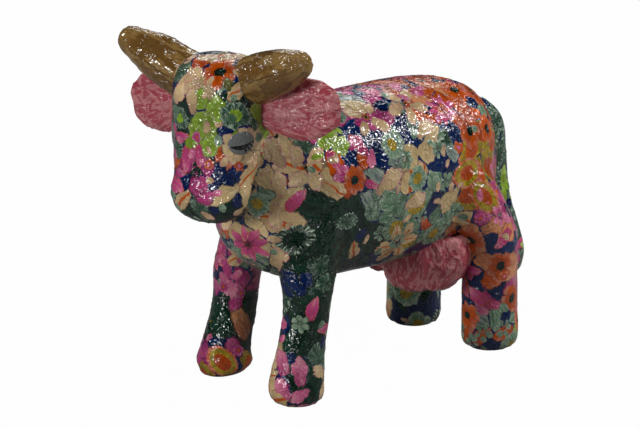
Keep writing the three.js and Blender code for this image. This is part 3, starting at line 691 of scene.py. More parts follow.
# Three colours, the least and most length in millimetres, the width for that length, the taper,
# the count and depth of the lobes, the heart's and the border's width, whether strokes run along,
# and how much shows of streaks, fine hairs and a vein
Motif = collections.namedtuple(
    "Motif", "petal stroke core low high aspect taper lobes notch heart rim along streak hair vein",
    defaults=(9, 14, 0.58, 0.3, 3, 0.1, 0, 0.06, 1, 0.5, 0, 0))
MOTIFS = {
    "cream_petal": Motif(
        "cream", "tan", "orange", 10, 17, 0.42, 0.3, 5, 0.14, streak=0.4, hair=0.12),
    "dotted_petal": Motif(
        "cream", "magenta", "orange", 9, 15, 0.5, 0.42, 5, 0.16, streak=0.18, rim=0.1),
    "veined_petal": Motif(
        "cream", "peach", "orange", 9, 15, 0.52, 0.35, 5, 0.14, streak=0.3, vein=1),
    "peach_petal": Motif("peach", "rust", "rust", 10, 15, 0.52, streak=0.45, hair=0.6),
    "magenta_petal": Motif("magenta", "wine", "orange", 7, 11, 0.5, lobes=0, notch=0, hair=0.8),
    "tipped_petal": Motif(
        "magenta", "orange", "wine", 7, 11, 0.45, -0.3, 0, 0, streak=0.3, rim=0.14),
    "rose_petal": Motif(
        "rose", "magenta", "rose", 7, 11, 0.5, 0.4, 5, 0.16, streak=0.7, hair=0.5),
    "orange_petal": Motif("orange", "rust", "ochre", 7, 11, 0.6, streak=0.7, rim=0.1),
    "orange_flower": Motif("orange", "rust", "fir", 9.5, 13, 0.95, 0, 7, 0.24, 0.3, 0.05, 0, 0.6),
    "ringed_oval": Motif("orange", "rust", "ochre", 12, 16, 0.68, 0, 9, 0.06, 0.74, 0.05, 0, 0.6),
    "fir_leaf": Motif("fir", "leaf", "fir", 16, 26, 0.62, 0.1, 0, 0, 0, 0.05, 1, 0.5, 0.12),
    "hair_ring": Motif("fir", "mist", "fir", 12, 16, 0.66, 0, 17, 0.1, 0.5, 0.02, 0, 0.25, 1),
    "feather_leaf": Motif(
        "leaf", "mist", "olive", 9, 14, 0.6, 0.1, 15, 0.12, 0, 0.05, 0, 0.25, 0.9),
    "green_crescent": Motif("leaf", "mist", "lime", 9, 13, 0.8, 0, 13, 0.1, 0.42, 0.1, 0, 0.2, 0.7),
    "sage_flower": Motif("sage", "mist", "ochre", 9, 13, 0.95, 0, 4, 0.14, 0.4, 0.1, 0, 0.4, 0.6),
    "sage_petal": Motif("sage", "mist", "ochre", 7, 12, 0.6, streak=0.4, hair=0.7),
    "grey_petal": Motif("slate", "mist", "sage", 7, 11, 0.7, streak=0.5, hair=0.4),
    "lime_patch": Motif("lime", "olive", "olive", 7, 10, 0.75, 0, 5, 0.14, 0, 0.1, 0, 0.4),
    "lime_leaf": Motif("lime", "olive", "sage", 5, 9, 0.45, 0.1, 0, 0, streak=0.5),
    "olive_leaf": Motif("olive", "fir", "ochre", 5, 9, 0.5, 0.2, 0, 0, streak=0.7),
    "pompom": Motif("sage", "leaf", "sage", 3.5, 5, 0.9, 0, 9, 0.14, 0, 0.1, 0, 0.4, 0.5),
    "sage_bud": Motif("sage", "mist", "sage", 2.6, 4.2, 0.75, 0.2, 3, 0.1, streak=0.8),
    "cream_bud": Motif("cream", "magenta", "cream", 3, 5.5, 0.6, 0.3, 3, 0.1, rim=0.15, streak=0.2),
    "pink_bud": Motif("rose", "magenta", "rose", 3, 5, 0.6, 0.2, 0, 0, streak=0.9),
    "small_orange": Motif("orange", "rust", "rose", 3.5, 5.5, 1, 0, 5, 0.3, 0.35, 0.05, 0),
    "small_pink": Motif("magenta", "wine", "orange", 3.5, 5.5, 1, 0, 6, 0.25, 0.3, 0.05, 0),
    "ochre_heart": Motif("ochre", "rust", "fir", 2.5, 4, 0.9, 0, 7, 0.2, 0.3, 0.2, 0),
    "wine_heart": Motif("wine", "orange", "fir", 3, 4.5, 1, 0, 9, 0.3, 0.3, 0.2, 0),
    "navy_gap": Motif("ground", "ground", "ground", 5, 8, 0.7, streak=0),
}

# Rooms that a layer leaves empty
EMPTY = {"bare": Motif("ground", "ground", "ground", 6, 9, 1),
         "open": Motif("ground", "ground", "ground", 6, 9, 1)}

# A bloom is a ring of petals about a heart. Its spread is in petal lengths
Bloom = collections.namedtuple("Bloom", "petal heart low high petals spread")
BLOOMS = {
    "cream_bloom": Bloom("dotted_petal", "ochre_heart", 7.5, 9.5, (4, 6), 1.75),
    "striped_bloom": Bloom("veined_petal", "ochre_heart", 7.5, 9.5, (5, 7), 1.8),
    "peach_bloom": Bloom("peach_petal", "ochre_heart", 8, 10, (5, 7), 1.8),
    "peony": Bloom("tipped_petal", "wine_heart", 6, 8, (8, 10), 1.7),
    "pink_bloom": Bloom("magenta_petal", "small_orange", 6, 8, (5, 7), 1.7),
    "sage_bloom": Bloom("sage_petal", "ochre_heart", 5, 7, (5, 7), 1.75),
    "berries": Bloom("sage_bud", "sage_bud", 2.8, 3.6, (5, 7), 1.9),
    "pink_berries": Bloom("pink_bud", "sage_bud", 3, 4, (4, 6), 1.8),
}
UNDER = ("cream_petal", "veined_petal", "peach_petal", "magenta_petal", "orange_petal",
         "ringed_oval", "fir_leaf", "feather_leaf", "sage_flower", "sage_petal", "grey_petal",
         "lime_patch", "navy_gap")
MIDDLE = ("cream_bloom", "striped_bloom", "peach_bloom", "peony", "pink_bloom", "sage_bloom",
          "berries", "orange_flower", "dotted_petal", "veined_petal", "tipped_petal",
          "rose_petal", "feather_leaf", "green_crescent", "sage_flower", "grey_petal",
          "lime_patch", "hair_ring", "ringed_oval", "open")
OVER = ("bare", "sage_bud", "cream_bud", "pink_bud", "pompom", "lime_leaf", "olive_leaf",
        "small_orange", "small_pink", "berries", "pink_berries")

# How often each kind comes in each family
FAMILIES = {
    "pale": {"bare": 4, "navy_gap": 1.2, "cream_petal": 3, "veined_petal": 2, "dotted_petal": 2,
             "cream_bloom": 4, "striped_bloom": 1.5, "cream_bud": 2, "sage_bud": 0.4},
    "warm": {"bare": 3, "navy_gap": 0.5, "peach_petal": 4, "peach_bloom": 3,
             "veined_petal": 0.6, "cream_bud": 1},
    "pink": {"bare": 3, "navy_gap": 0.9, "magenta_petal": 3, "tipped_petal": 2, "peony": 3,
             "pink_bloom": 1.5, "rose_petal": 1, "small_pink": 2, "pink_bud": 1,
             "pink_berries": 0.5},
    "orange": {"bare": 3, "navy_gap": 1.4, "orange_petal": 3, "orange_flower": 5,
               "small_orange": 1},
    "ringed": {"bare": 8, "open": 1, "navy_gap": 0.6, "ringed_oval": 8, "orange_flower": 0.6,
               "small_orange": 0.3},
    "dark": {"bare": 9, "open": 5, "navy_gap": 0.3, "fir_leaf": 6, "hair_ring": 1.4,
             "feather_leaf": 1, "sage_bud": 0.2},
    "green": {"bare": 0.5, "navy_gap": 0.7, "feather_leaf": 4, "green_crescent": 2,
              "fir_leaf": 1, "lime_leaf": 0.7},
    "sage": {"bare": 3, "navy_gap": 2.4, "sage_flower": 3, "sage_petal": 3, "grey_petal": 1,
             "sage_bloom": 2, "berries": 2, "pompom": 0.5, "sage_bud": 1},
    "lime": {"lime_patch": 3, "lime_leaf": 1, "pompom": 1, "olive_leaf": 0.5},
}


# Places in millimetres from the floor point between the feet, and the share of each family
ZONES = (
    ((0, -134, 192), {"pale": 6, "orange": 0.7}),
    ((12, -134, 176), {"lime": 5, "sage": 1, "pale": 1}),
    ((-20, -132, 172), {"green": 6, "lime": 1}),
    ((-8, -136, 152), {"pink": 7, "orange": 1.5}),
    ((8, -138, 134), {"pale": 4, "pink": 3, "orange": 0.6}),
    ((-10, -130, 120), {"dark": 20}),
    ((8, -132, 120), {"dark": 20}),
    ((20, -118, 118), {"dark": 20}),
    ((27, -112, 150), {"pale": 4, "orange": 2, "green": 1}),
    ((30, -90, 170), {"green": 4, "lime": 1.5}),
    ((-30, -105, 150), {"pink": 3, "pale": 3, "sage": 2}),
    ((30, -78, 140), {"pale": 6, "sage": 1, "pink": 1}),
    ((34, -62, 158), {"green": 5, "lime": 1.5, "pink": 1}),
    ((44, -42, 134), {"pink": 6, "orange": 2}),
    ((42, -60, 104), {"dark": 12}),
    ((34, -70, 74), {"dark": 12}),
    ((33, -76, 45), {"dark": 9, "sage": 1, "pink": 1}),
    ((33, -92, 12), {"pale": 4, "pink": 3}),
    ((12, -100, 108), {"pale": 7, "pink": 1, "sage": 1}),
    ((-14, -98, 80), {"sage": 3, "orange": 1, "pale": 2}),
    ((-34, -84, 66), {"pink": 9}),
    ((-34, -92, 34), {"warm": 3, "ringed": 2, "dark": 4}),
    ((-34, -98, 8), {"pink": 3, "ringed": 3, "dark": 3}),
    ((44, -20, 112), {"sage": 6, "pale": 2, "dark": 1}),
    ((44, 16, 100), {"sage": 4, "pale": 4, "green": 2, "orange": 0.6}),
    ((42, 18, 136), {"pale": 5, "green": 1, "sage": 4}),
    ((16, -20, 168), {"pink": 3, "sage": 2, "pale": 2}),
    ((14, 40, 170), {"pink": 3, "orange": 4, "warm": 2}),
    ((36, 56, 146), {"orange": 7, "sage": 1}),
    ((40, 76, 122), {"ringed": 9}),
    ((38, 86, 98), {"pink": 7, "orange": 3}),
    ((36, 84, 70), {"warm": 9, "orange": 2, "pale": 1}),
    ((36, 84, 40), {"pink": 5, "orange": 3, "warm": 1}),
    ((36, 84, 8), {"sage": 4, "lime": 1, "orange": 2}),
    ((0, 108, 130), {"orange": 3, "pink": 3, "green": 2}),
    ((0, 100, 80), {"warm": 3, "pink": 3, "dark": 1}),
    ((10, 0, 62), {"pale": 3, "sage": 2, "orange": 1, "dark": 1}),
    ((-34, 80, 40), {"dark": 4, "sage": 3, "pale": 3}),
    ((-40, 76, 120), {"pale": 4, "pink": 3, "orange": 2}),
    ((-44, 20, 110), {"sage": 4, "pale": 4, "orange": 2, "pink": 1}),
    ((-44, -30, 120), {"dark": 3, "pink": 3, "pale": 3}),
    ((-36, -60, 150), {"pale": 4, "green": 3, "pink": 2}),
)
TAIL_ZONES = (((6, 112, 110), {"green": 9}), ((20, 108, 50), {"green": 9, "pink": 1}))
ZONE_REACH = 15 * MM
TRIES = 7000
# How far a normal has to agree with a motif's own for them to share a side, and a paper
SAME_SIDE = -0.2
SAME_PAPER = -0.15

# A way that almost no normal of the cow runs along
ASKEW = (0.31, 0.22, 0.93)

Laid = collections.namedtuple("Laid", "kind size at normal way")


def zone_weights(points, zones):
    """How much each zone counts at each point."""
    places = np.array([at for at, _ in zones]) * MM + CENTRE
    gaps = (np.linalg.norm(points[:, None] - places, axis=2) / ZONE_REACH) ** 2
    weights = np.exp(gaps.min(axis=1, keepdims=True) - gaps)
    return weights / weights.sum(axis=1, keepdims=True)


def ground_colours(points, zones, paints):
    """The print's ground: dark green where the dark leaves are, and navy elsewhere."""
    table = np.array([
        sum(mix.get(family, 0) for family in ("dark", "green")) / sum(mix.values())
        for _, mix in zones])
    share = np.clip((zone_weights(points, zones) @ table)[:, None] * 2 - 0.5, 0, 1)
    colours = np.ones((len(points), 4))
    colours[:, :3] = share * np.array(paints.fir) + (1 - share) * np.array(paints.ground)
    return colours


def zone_shares(points, kinds, zones):
    """How likely each kind is at each point."""
    table = np.array([
        [sum(share * FAMILIES[family].get(kind, 0) for family, share in mix.items())
         for kind in kinds] for _, mix in zones])
    shares = zone_weights(points, zones) @ table + NOTHING
    return shares / shares.sum(axis=1, keepdims=True)


def scatter(points, normals, kinds, zones, packing, seed):
    """Motifs and blooms laid side by side over a skin."""
    rng = np.random.default_rng(seed)
    rows = rng.permutation(len(points))[:TRIES]
    ranks = zone_shares(points[rows], kinds, zones).cumsum(axis=1)
    picks = (ranks < rng.random((len(rows), 1))).sum(axis=1).clip(0, len(kinds) - 1)
    chances = rng.random((len(rows), 2))
    laid = []
    places, facings, rooms = np.empty((TRIES, 3)), np.empty((TRIES, 3)), np.empty(TRIES)
    for row, pick, (big, angle) in zip(rows, picks, chances):
        kind = kinds[pick]
        motif = BLOOMS.get(kind) or EMPTY.get(kind) or MOTIFS[kind]
        size = (motif.low + (motif.high - motif.low) * big) * MM
        room = size * (motif.spread if kind in BLOOMS else 0.45 + 0.55 * motif.aspect)
        count = len(laid)
        gaps = np.linalg.norm(places[:count] - points[row], axis=1)
        facing = facings[:count] @ normals[row] > SAME_SIDE
        if (facing & (gaps < packing * (rooms[:count] + room))).any():
            continue
        places[count], facings[count], rooms[count] = points[row], normals[row], room
        side = unit(np.cross(normals[row], ASKEW))
        angle *= 2 * math.pi
        way = math.cos(angle) * side + math.sin(angle) * np.cross(normals[row], side)
        laid.append(Laid(kind, size, points[row], normals[row], way))
    return laid


# Petals of a bloom: how far out they lie, how unevenly they are turned, and their sizes
PETAL_REACH = 0.95
PETAL_TURN = 0.12
PETAL_SIZES = (0.88, 1.08)
# A heart is at most this share of a petal, and is then enlarged to reach under the petals
HEART_SHARE = 0.42
HEART_SWELL = 1.3


def opened(laid, points, normals, tree, seed):
    """The motifs, with each bloom turned into its petals and its heart."""
    rng = np.random.default_rng(seed)
    motifs = []
    for item in laid:
        if item.kind in EMPTY:
            continue
        if item.kind not in BLOOMS:
            motifs.append(item)
            continue
        bloom = BLOOMS[item.kind]
        count = int(rng.integers(*bloom.petals))
        for k in range(count):
            turn_by = 2 * math.pi * k / count + rng.uniform(-PETAL_TURN, PETAL_TURN)
            way = about(item.normal, turn_by) @ item.way
            size = item.size * rng.uniform(*PETAL_SIZES)
            row = tree.find(item.at + way * size * PETAL_REACH)[1]
            way = unit(way - normals[row] * (way @ normals[row]))
            motifs.append(Laid(bloom.petal, size, points[row], normals[row], way))
        heart = MOTIFS[bloom.heart]
        size = min(item.size * HEART_SHARE, rng.uniform(heart.low, heart.high) * MM)
        motifs.append(Laid(bloom.heart, size * HEART_SWELL, item.at, item.normal, item.way))
    return motifs


# Each layer's name, its kinds, how far apart they lie, and how much they are enlarged
LAYERS = (("under", UNDER, 0.6, 1.5), ("middle", MIDDLE, 0.8, 1.0), ("over", OVER, 1.25, 1.0))
CHANNELS = ("place", "form", "look", "petal", "stroke", "core")
# In lengths of a motif: how far its form can reach, and a distance past any motif
MOTIF_REACH = 1.7
FAR = 9.0
MOST_BEND = 1.6
NOTHING = 1e-9
# Steps that spread the motifs' chances and shades evenly
CHANCE_STEP = 0.618
SHADE_STEP = 0.377


# How far the print's outlines wander, and over what distance
DRIFTS = ((1.7 * MM, 8 * MM), (0.8 * MM, 3 * MM))


def drifted(points, seed):
    """The points moved a little, so that outlines drawn over them wander."""
    drift = np.zeros_like(points)
    for axis, (number, (far, spacing)) in itertools.product(range(3), enumerate(DRIFTS)):
        drift[:, axis] += far * noise(points / spacing, seed + 3 * number + axis)
    return points + drift


def channels_of(points, normals, motifs, paints, swell, seed):
    """What the print's shader reads at each point, for one layer."""
    points = drifted(points, seed)
    order = np.argsort(points[:, 1], kind="stable")
    lanes = points[order, 1]
    values = {channel: np.zeros((len(points), 4)) for channel in CHANNELS}
    nearest, second = np.full(len(points), FAR), np.full(len(points), FAR)
    for number, (kind, size, at, normal, way) in enumerate(motifs):
        motif = MOTIFS[kind]
        wide = size * MOTIF_REACH * swell
        rows = order[np.searchsorted(lanes, at[1] - wide):np.searchsorted(lanes, at[1] + wide)]
        offset = points[rows] - at
        away = np.linalg.norm(offset, axis=1)
        keep = (away < wide) & (normals[rows] @ normal > SAME_PAPER)
        rows, offset, away = rows[keep], offset[keep], away[keep]
        flat = offset - np.outer(offset @ normal, normal)
        # Round a bend the motif keeps its length
        bend = away / np.maximum(np.linalg.norm(flat, axis=1), NOTHING)
        flat *= np.minimum(bend, MOST_BEND)[:, None]
        u = flat @ way / size / swell
        v = flat @ np.cross(normal, way) / size / swell / motif.aspect
        v /= np.clip(1 + motif.taper * u, 0.3, 2)
        reach = np.hypot(u, v)
        closer = reach < nearest[rows]
        second[rows] = np.where(closer, nearest[rows], np.minimum(second[rows], reach))
        rows, u, v, reach = rows[closer], u[closer], v[closer], reach[closer]
        nearest[rows] = reach
        chance = (number * CHANCE_STEP) % 1
        values["place"][rows] = np.stack([u, v, reach, np.full(len(rows), chance)], -1)
        values["form"][rows] = (motif.lobes, motif.notch, motif.heart, size * swell / (10 * MM))
        values["look"][rows] = (motif.along, motif.streak, motif.hair, motif.vein)
        shade = 0.84 + 0.32 * ((number * SHADE_STEP) % 1)
        for channel, colour in zip(("petal", "stroke", "core"), motif[:3]):
            values[channel][rows, :3] = np.array(getattr(paints, colour)) * shade
        values["petal"][rows, 3] = motif.rim
    values["place"][nearest == FAR, 2] = FAR
    values["form"][:, 3] *= np.minimum(second - nearest, 1)
    return values


def printed(skin, zones, seed):
    """All that the print's shader reads at each point of a whole skin."""
    paints = bpy.context.scene.cow_paints
    points, normals = skin.points, skin.normals()
    tree = finder(points)
    channels = {"ground": ground_colours(points, zones, paints)}
    for number, (layer, kinds, packing, swell) in enumerate(LAYERS):
        laid = scatter(points, normals, kinds, zones, packing, seed + number)
        motifs = opened(laid, points, normals, tree, seed + number)
        read = channels_of(points, normals, motifs, paints, swell, seed + 10 * number)
        channels.update(("%s_%s" % (layer, channel), values) for channel, values in read.items())
    return channels



# Materials

def adds_node(operation, mirrored=False):
    """A Python operator that adds a Math node. A mirrored one has the value on its right."""
    def add_node(value, other):
        pair = (other, value) if mirrored else (value, other)
        return value.finish.maths(operation, *pair)
    return add_node


class Value:
    """A number socket of a node. Python's operators on it add Math nodes."""

    def __init__(self, finish, socket):
        self.finish = finish
        self.socket = socket

    __add__, __radd__ = adds_node("ADD"), adds_node("ADD", mirrored=True)
    __sub__, __rsub__ = adds_node("SUBTRACT"), adds_node("SUBTRACT", mirrored=True)
    __mul__, __rmul__ = adds_node("MULTIPLY"), adds_node("MULTIPLY", mirrored=True)
    __truediv__, __rtruediv__ = adds_node("DIVIDE"), adds_node("DIVIDE", mirrored=True)
    __pow__, __rpow__ = adds_node("POWER"), adds_node("POWER", mirrored=True)

    def __abs__(self):
        return self.finish.maths("ABSOLUTE", self)


def plain(value):
    return value.socket if isinstance(value, Value) else value


class Finish:
    """The nodes of a material or of the world, under construction."""

    def __init__(self, owner, output="ShaderNodeOutputMaterial"):
        owner.use_nodes = True
        owner.node_tree.nodes.clear()
        self.owner = owner
        self.tree = owner.node_tree
        self.output = self.node(output)

    def node(self, kind, settings=None, inputs=None):
        """Adds a node, sets it, and fills or links its sockets."""
        node = self.tree.nodes.new(kind)
        for key, setting in (settings or {}).items():
            setattr(node, key, setting)
        for key, value in (inputs or {}).items():
            value = plain(value)
            if isinstance(value, bpy.types.NodeSocket):
                self.tree.links.new(value, node.inputs[key])
            else:
                node.inputs[key].default_value = value
        return node

    def show(self, shader):
        """Ends the nodes with a shader."""
        self.tree.links.new(shader.outputs[0], self.output.inputs["Surface"])
        return self.owner

    def maths(self, operation, *values):
        node = self.node("ShaderNodeMath", {"operation": operation}, dict(enumerate(values)))
        return Value(self, node.outputs[0])

    def step(self, value, low, high):
        """0 below low, 1 above high, and smooth between."""
        node = self.node("ShaderNodeMapRange", {"interpolation_type": "SMOOTHSTEP"}, {
            "Value": value, "From Min": low, "From Max": high, "To Min": 0.0, "To Max": 1.0})
        return Value(self, node.outputs["Result"])

    def scale(self, value, low, high):
        """0 to 1 turned into low to high."""
        return low + value * (high - low)

    def attribute(self, name):
        node = self.node("ShaderNodeAttribute", {"attribute_name": name})
        return node.outputs["Color"], Value(self, node.outputs["Alpha"])

    def split(self, vector):
        node = self.node("ShaderNodeSeparateXYZ", inputs={0: vector})
        return [Value(self, output) for output in node.outputs]

    def vector(self, x, y, z):
        return self.node("ShaderNodeCombineXYZ", inputs={0: x, 1: y, 2: z}).outputs[0]

    def mix(self, factor, first, second):
        """Second colour over the first where the factor is 1."""
        node = self.node("ShaderNodeMix", {"data_type": "RGBA", "clamp_factor": True}, {
            0: factor, 6: self.rgba(first), 7: self.rgba(second)})
        return node.outputs[2]

    @staticmethod
    def rgba(colour):
        return colour if isinstance(colour, bpy.types.NodeSocket) else (*colour[:3], 1)

    def scaled(self, vector, factor):
        """A vector times a number, or a colour made darker or lighter."""
        if not isinstance(vector, bpy.types.NodeSocket):
            vector = tuple(vector)[:3]
        node = self.node("ShaderNodeVectorMath", {"operation": "SCALE"}, {
            0: vector, "Scale": factor})
        return node.outputs[0]

    def place(self):
        """Where a point of the piece is, in millimetres."""
        return self.scaled(self.node("ShaderNodeTexCoord").outputs["Object"], 1 / MM)

    def noise(self, vector, scale, detail=2.0, roughness=0.5, warp=0.0):
        """Soft noise from 0 to 1. The scale counts its bumps in a unit of the vector."""
        node = self.node("ShaderNodeTexNoise", inputs={
            "Vector": vector, "Scale": scale, "Detail": detail, "Roughness": roughness,
            "Distortion": warp})
        return Value(self, node.outputs["Fac"])

    def wrinkles(self, at, scale):
        """Fine raised lines of pasted paper, 0 to 1."""
        return self.step(abs(self.noise(at, scale, warp=0.6) - 0.5), 0.05, 0.0)

    def bump(self, height):
        """The normal for a height in millimetres."""
        return self.node("ShaderNodeBump", inputs={
            "Strength": 1.0, "Distance": MM, "Height": height}).outputs["Normal"]

    def finish(self, colour, roughness, normal, **fixed):
        """Ends a material with its main shader."""
        inputs = {"Base Color": self.rgba(colour), "Roughness": roughness, "Normal": normal}
        inputs.update((key.replace("_", " "), value) for key, value in fixed.items())
        return self.show(self.node("ShaderNodeBsdfPrincipled", inputs=inputs))


VARNISH_GLOSS = 0.55


def varnish(finish, at, height, dimpled=0.42):
    """The normal and roughness of a thick hand-brushed varnish over a height."""
    runs = finish.noise(at, 0.14, detail=1.0) * 0.9
    wrinkles = finish.wrinkles(at, 0.11) * 0.2
    dimples = finish.noise(at, 0.72, detail=0.6) * dimpled
    roughness = finish.scale(finish.noise(at, 0.4), 0.02, 0.11)
    return finish.bump(height + runs + wrinkles + dimples), roughness


PAPER_THICKNESS = 0.06
SCRAP_STEP = 0.45
PALE_TIP = (0.86, 0.74, 0.6)
# How far strokes differ from one motif to the next, in the noise's own units
STROKE_SPREAD = 60.0


def print_layer(finish, layer, below, height, ragged, dots, touching):
    """Lays one layer of motifs over the colour below it, and adds to the height."""
    mix, step, scale, maths = finish.mix, finish.step, finish.scale, finish.maths
    (place, chance), (form, gap), (look, vein), (petal, rim), (stroke, _), (core, _) = (
        finish.attribute("%s_%s" % (layer, channel)) for channel in CHANNELS)
    u, v, reach = finish.split(place)
    lobes, notch, heart = finish.split(form)
    along, streak, hair = finish.split(look)
    angle = maths("ARCTAN2", v, u)
    lobe = abs(maths("COSINE", angle * lobes * 0.5)) ** 0.55
    edge = 1.0 - notch * (1.0 - lobe) - reach
    # In places the motifs touch, and elsewhere the ground shows between them
    torn = ragged * 0.42 - 0.1
    inside = maths("MINIMUM", edge, gap + touching * 0.25) - torn
    mask = step(inside, 0.0, 0.04)
    # Brush strokes run out from a flower's middle, or along a petal
    spin = finish.vector(maths("COSINE", angle) * 2.6, maths("SINE", angle) * 2.6,
                         reach * 0.9 + chance * STROKE_SPREAD)
    combed = finish.vector(u * 0.9, v * 3.6, chance * STROKE_SPREAD)
    way = finish.node("ShaderNodeMix", {"data_type": "VECTOR"},
                      {0: along, 4: spin, 5: combed}).outputs[1]
    strokes = finish.noise(way, 1.1, roughness=0.6)
    hairs = finish.noise(way, 2.8, roughness=0.6)
    streaks = step(strokes, 0.4, 0.6)
    outward = reach + along * (u * 0.5 + 0.5 - reach)
    colour = mix(streaks * streak, petal, stroke)
    colour = mix(step(hairs, 0.54, 0.62) * hair * step(reach, 0.1, 0.7), colour, stroke)
    # Tips of the lighter petals are paler, hearts and edges darker
    red, green, blue = finish.split(petal)
    light = step(red + green + blue, 0.15, 0.6)
    tip = step(outward + (strokes - 0.5) * 1.4, 0.5, 1.0)
    colour = mix(tip * light * 0.6, colour, mix(0.4, petal, PALE_TIP))
    grain = (step(hairs, 0.36, 0.64) - 0.6) * scale(hair, 0.14, 0.5)
    colour = finish.scaled(colour, (grain + 1.0) * scale(step(outward, 0.0, 0.8), 0.76, 1.08)
                           * scale(step(gap, 0.04, 0.2), 0.45, 1.0))
    spine = step(abs(v + maths("SINE", u * 3.0) * 0.16) + abs(u) * 0.1, 0.17, 0.1)
    colour = mix(spine * vein, colour, core)
    border = step(inside, rim + 0.06, rim * 0.4 + 0.03) * step(dots, 0.5, 0.56)
    colour = mix(border * step(rim, 0.0, 0.08), colour, stroke)
    eye = step(reach + ragged * 0.14, heart + 0.07, heart + 0.02)
    inner = mix(streaks, finish.scaled(core, 0.7), finish.scaled(core, 1.25))
    rounded = mix(eye * step(heart, 0.0, 0.1), colour, inner)
    # A very wide heart is a ring, with the petal's own colour inside it
    ringed = step(reach + ragged * 0.1, 0.5, 0.46) * step(heart, 0.6, 0.65)
    colour = mix(mask, below, mix(ringed, rounded, colour))
    return colour, height + mask * PAPER_THICKNESS


def printed_paper(name):
    """Flowered paper, pasted on in torn scraps and varnished."""
    finish = Finish(bpy.data.materials.new(name))
    at = finish.place()
    ragged = finish.noise(at, 0.8, detail=3.0, roughness=0.7)
    dots = finish.noise(at, 1.3, detail=1.0)
    touching = finish.step(finish.noise(at, 0.07, detail=1.0), 0.46, 0.54)
    ground, _ = finish.attribute("ground")
    colour = finish.mix(finish.step(dots, 0.4, 0.75), ground, finish.scaled(ground, 1.7))
    height = 0.0
    for layer, *_ in LAYERS:
        colour, height = print_layer(finish, layer, colour, height, ragged, dots, touching)
    # Each scrap lies a little above or below the next
    drift = finish.node("ShaderNodeTexNoise", inputs={"Vector": at, "Scale": 0.09, "Detail": 3.0})
    bent = finish.node("ShaderNodeVectorMath", {"operation": "ADD"}, {
        0: at, 1: finish.scaled(drift.outputs["Color"], 16.0)})
    scraps = finish.node("ShaderNodeTexVoronoi", inputs={"Vector": bent.outputs[0], "Scale": 0.034})
    lift, _, _ = finish.split(scraps.outputs["Color"])
    colour = finish.scaled(colour, finish.scale(finish.noise(at, 0.05), 0.82, 1.16)
                           * finish.scale(lift, 0.92, 1.08))
    normal, roughness = varnish(finish, at, height + lift * SCRAP_STEP)
    return finish.finish(colour, roughness, normal, Specular_IOR_Level=VARNISH_GLOSS)


def combed_paper(name, base, pale, dark, width, grain, fineness, ridge, warp, tip, dimpled):
    """Painted paper with strokes along a piece. The piece gives its own coordinates."""
    finish = Finish(bpy.data.materials.new(name))
    along, across, _ = finish.split(finish.attribute("own")[0])
    at = finish.place()
    broad = finish.noise(finish.vector(along * grain, across / width, 0.0), 1.0,
                         detail=3.0, roughness=0.6, warp=warp)
    fine = finish.noise(finish.vector(along * 0.1, across * 2.8 / width, 4.0), 1.0,
                        roughness=0.6, warp=warp)
    colour = finish.mix(finish.step(broad, 0.46, 0.56), base, pale)
    colour = finish.mix(finish.step(fine, 0.52, 0.68) * fineness, colour, dark)
    colour = finish.mix(finish.step(along, 36.0, 50.0) * tip, colour, pale)
    colour = finish.scaled(colour, finish.scale(finish.noise(at, 0.09, detail=3.0), 0.75, 1.25))
    normal, roughness = varnish(finish, at, broad * ridge + fine * ridge * 0.4, dimpled)
    return finish.finish(colour, roughness, normal, Specular_IOR_Level=VARNISH_GLOSS)


# Where the closed eye's line lies below the lid's middle, and how much it is bowed
EYE_LINE = 0.36
EYE_BOW = 0.4
# Each lash's place along the line, and how far it leans outward
LASHES = ((0.05, 0.16), (0.3, 0.34), (0.54, 0.55), (0.74, 0.85))
LASH_WIDTH = 0.08
LASH_LENGTH = 0.5


def eyelid_paper(name, paints):
    """Grey paper with the closed eye's line and lashes painted on it."""
    finish = Finish(bpy.data.materials.new(name))
    step, maths = finish.step, finish.maths
    u, v, _ = finish.split(finish.attribute("own")[0])
    at = finish.place()
    cloud = finish.noise(at, 0.5, detail=3.0, roughness=0.6)
    colour = finish.scaled(paints.eyelid, finish.scale(cloud, 0.7, 1.4))
    line = v + EYE_LINE - u * u * EYE_BOW
    fat = step(abs(line), finish.scale(step(abs(u + 0.15), 1.0, 0.1), 0.05, 0.34), 0.0)
    drawn = maths("GREATER_THAN", fat, 0.35) * step(abs(u), 0.9, 0.84)
    below = maths("LESS_THAN", line, 0.02) * maths("GREATER_THAN", line, -LASH_LENGTH)
    for start, lean in LASHES:
        ray = abs(u - start + (v + EYE_LINE - start * start * EYE_BOW) * lean)
        drawn = maths("MAXIMUM", drawn, maths("LESS_THAN", ray, LASH_WIDTH) * below)
    colour = finish.mix(drawn, colour, paints.lash)
    normal, roughness = varnish(finish, at, drawn * 0.1)
    return finish.finish(colour, roughness, normal, Specular_IOR_Level=VARNISH_GLOSS)


def bare_card(name, paints):
    """Unpainted card, with its fibres."""
    finish = Finish(bpy.data.materials.new(name))
    at = finish.place()
    fibre = finish.noise(at, 1.8, detail=3.0, roughness=0.7)
    blot = finish.scale(finish.noise(at, 0.2), 0.75, 1.2)
    colour = finish.scaled(paints.card, finish.scale(fibre, 0.7, 1.25) * blot)
    return finish.finish(colour, finish.scale(fibre, 0.6, 0.85), finish.bump(fibre * 0.2))


PINK_STROKES = {"width": 3.4, "grain": 0.11, "fineness": 0.35, "ridge": 0.9, "warp": 1.3,
                "tip": 0.0, "dimpled": 0.3}
HORN_STROKES = {"width": 8.0, "grain": 0.04, "fineness": 0.3, "ridge": 0.9, "warp": 0.6,
                "tip": 0.6, "dimpled": 0.12}


def darker(colour, share):
    return tuple(c * share for c in colour)


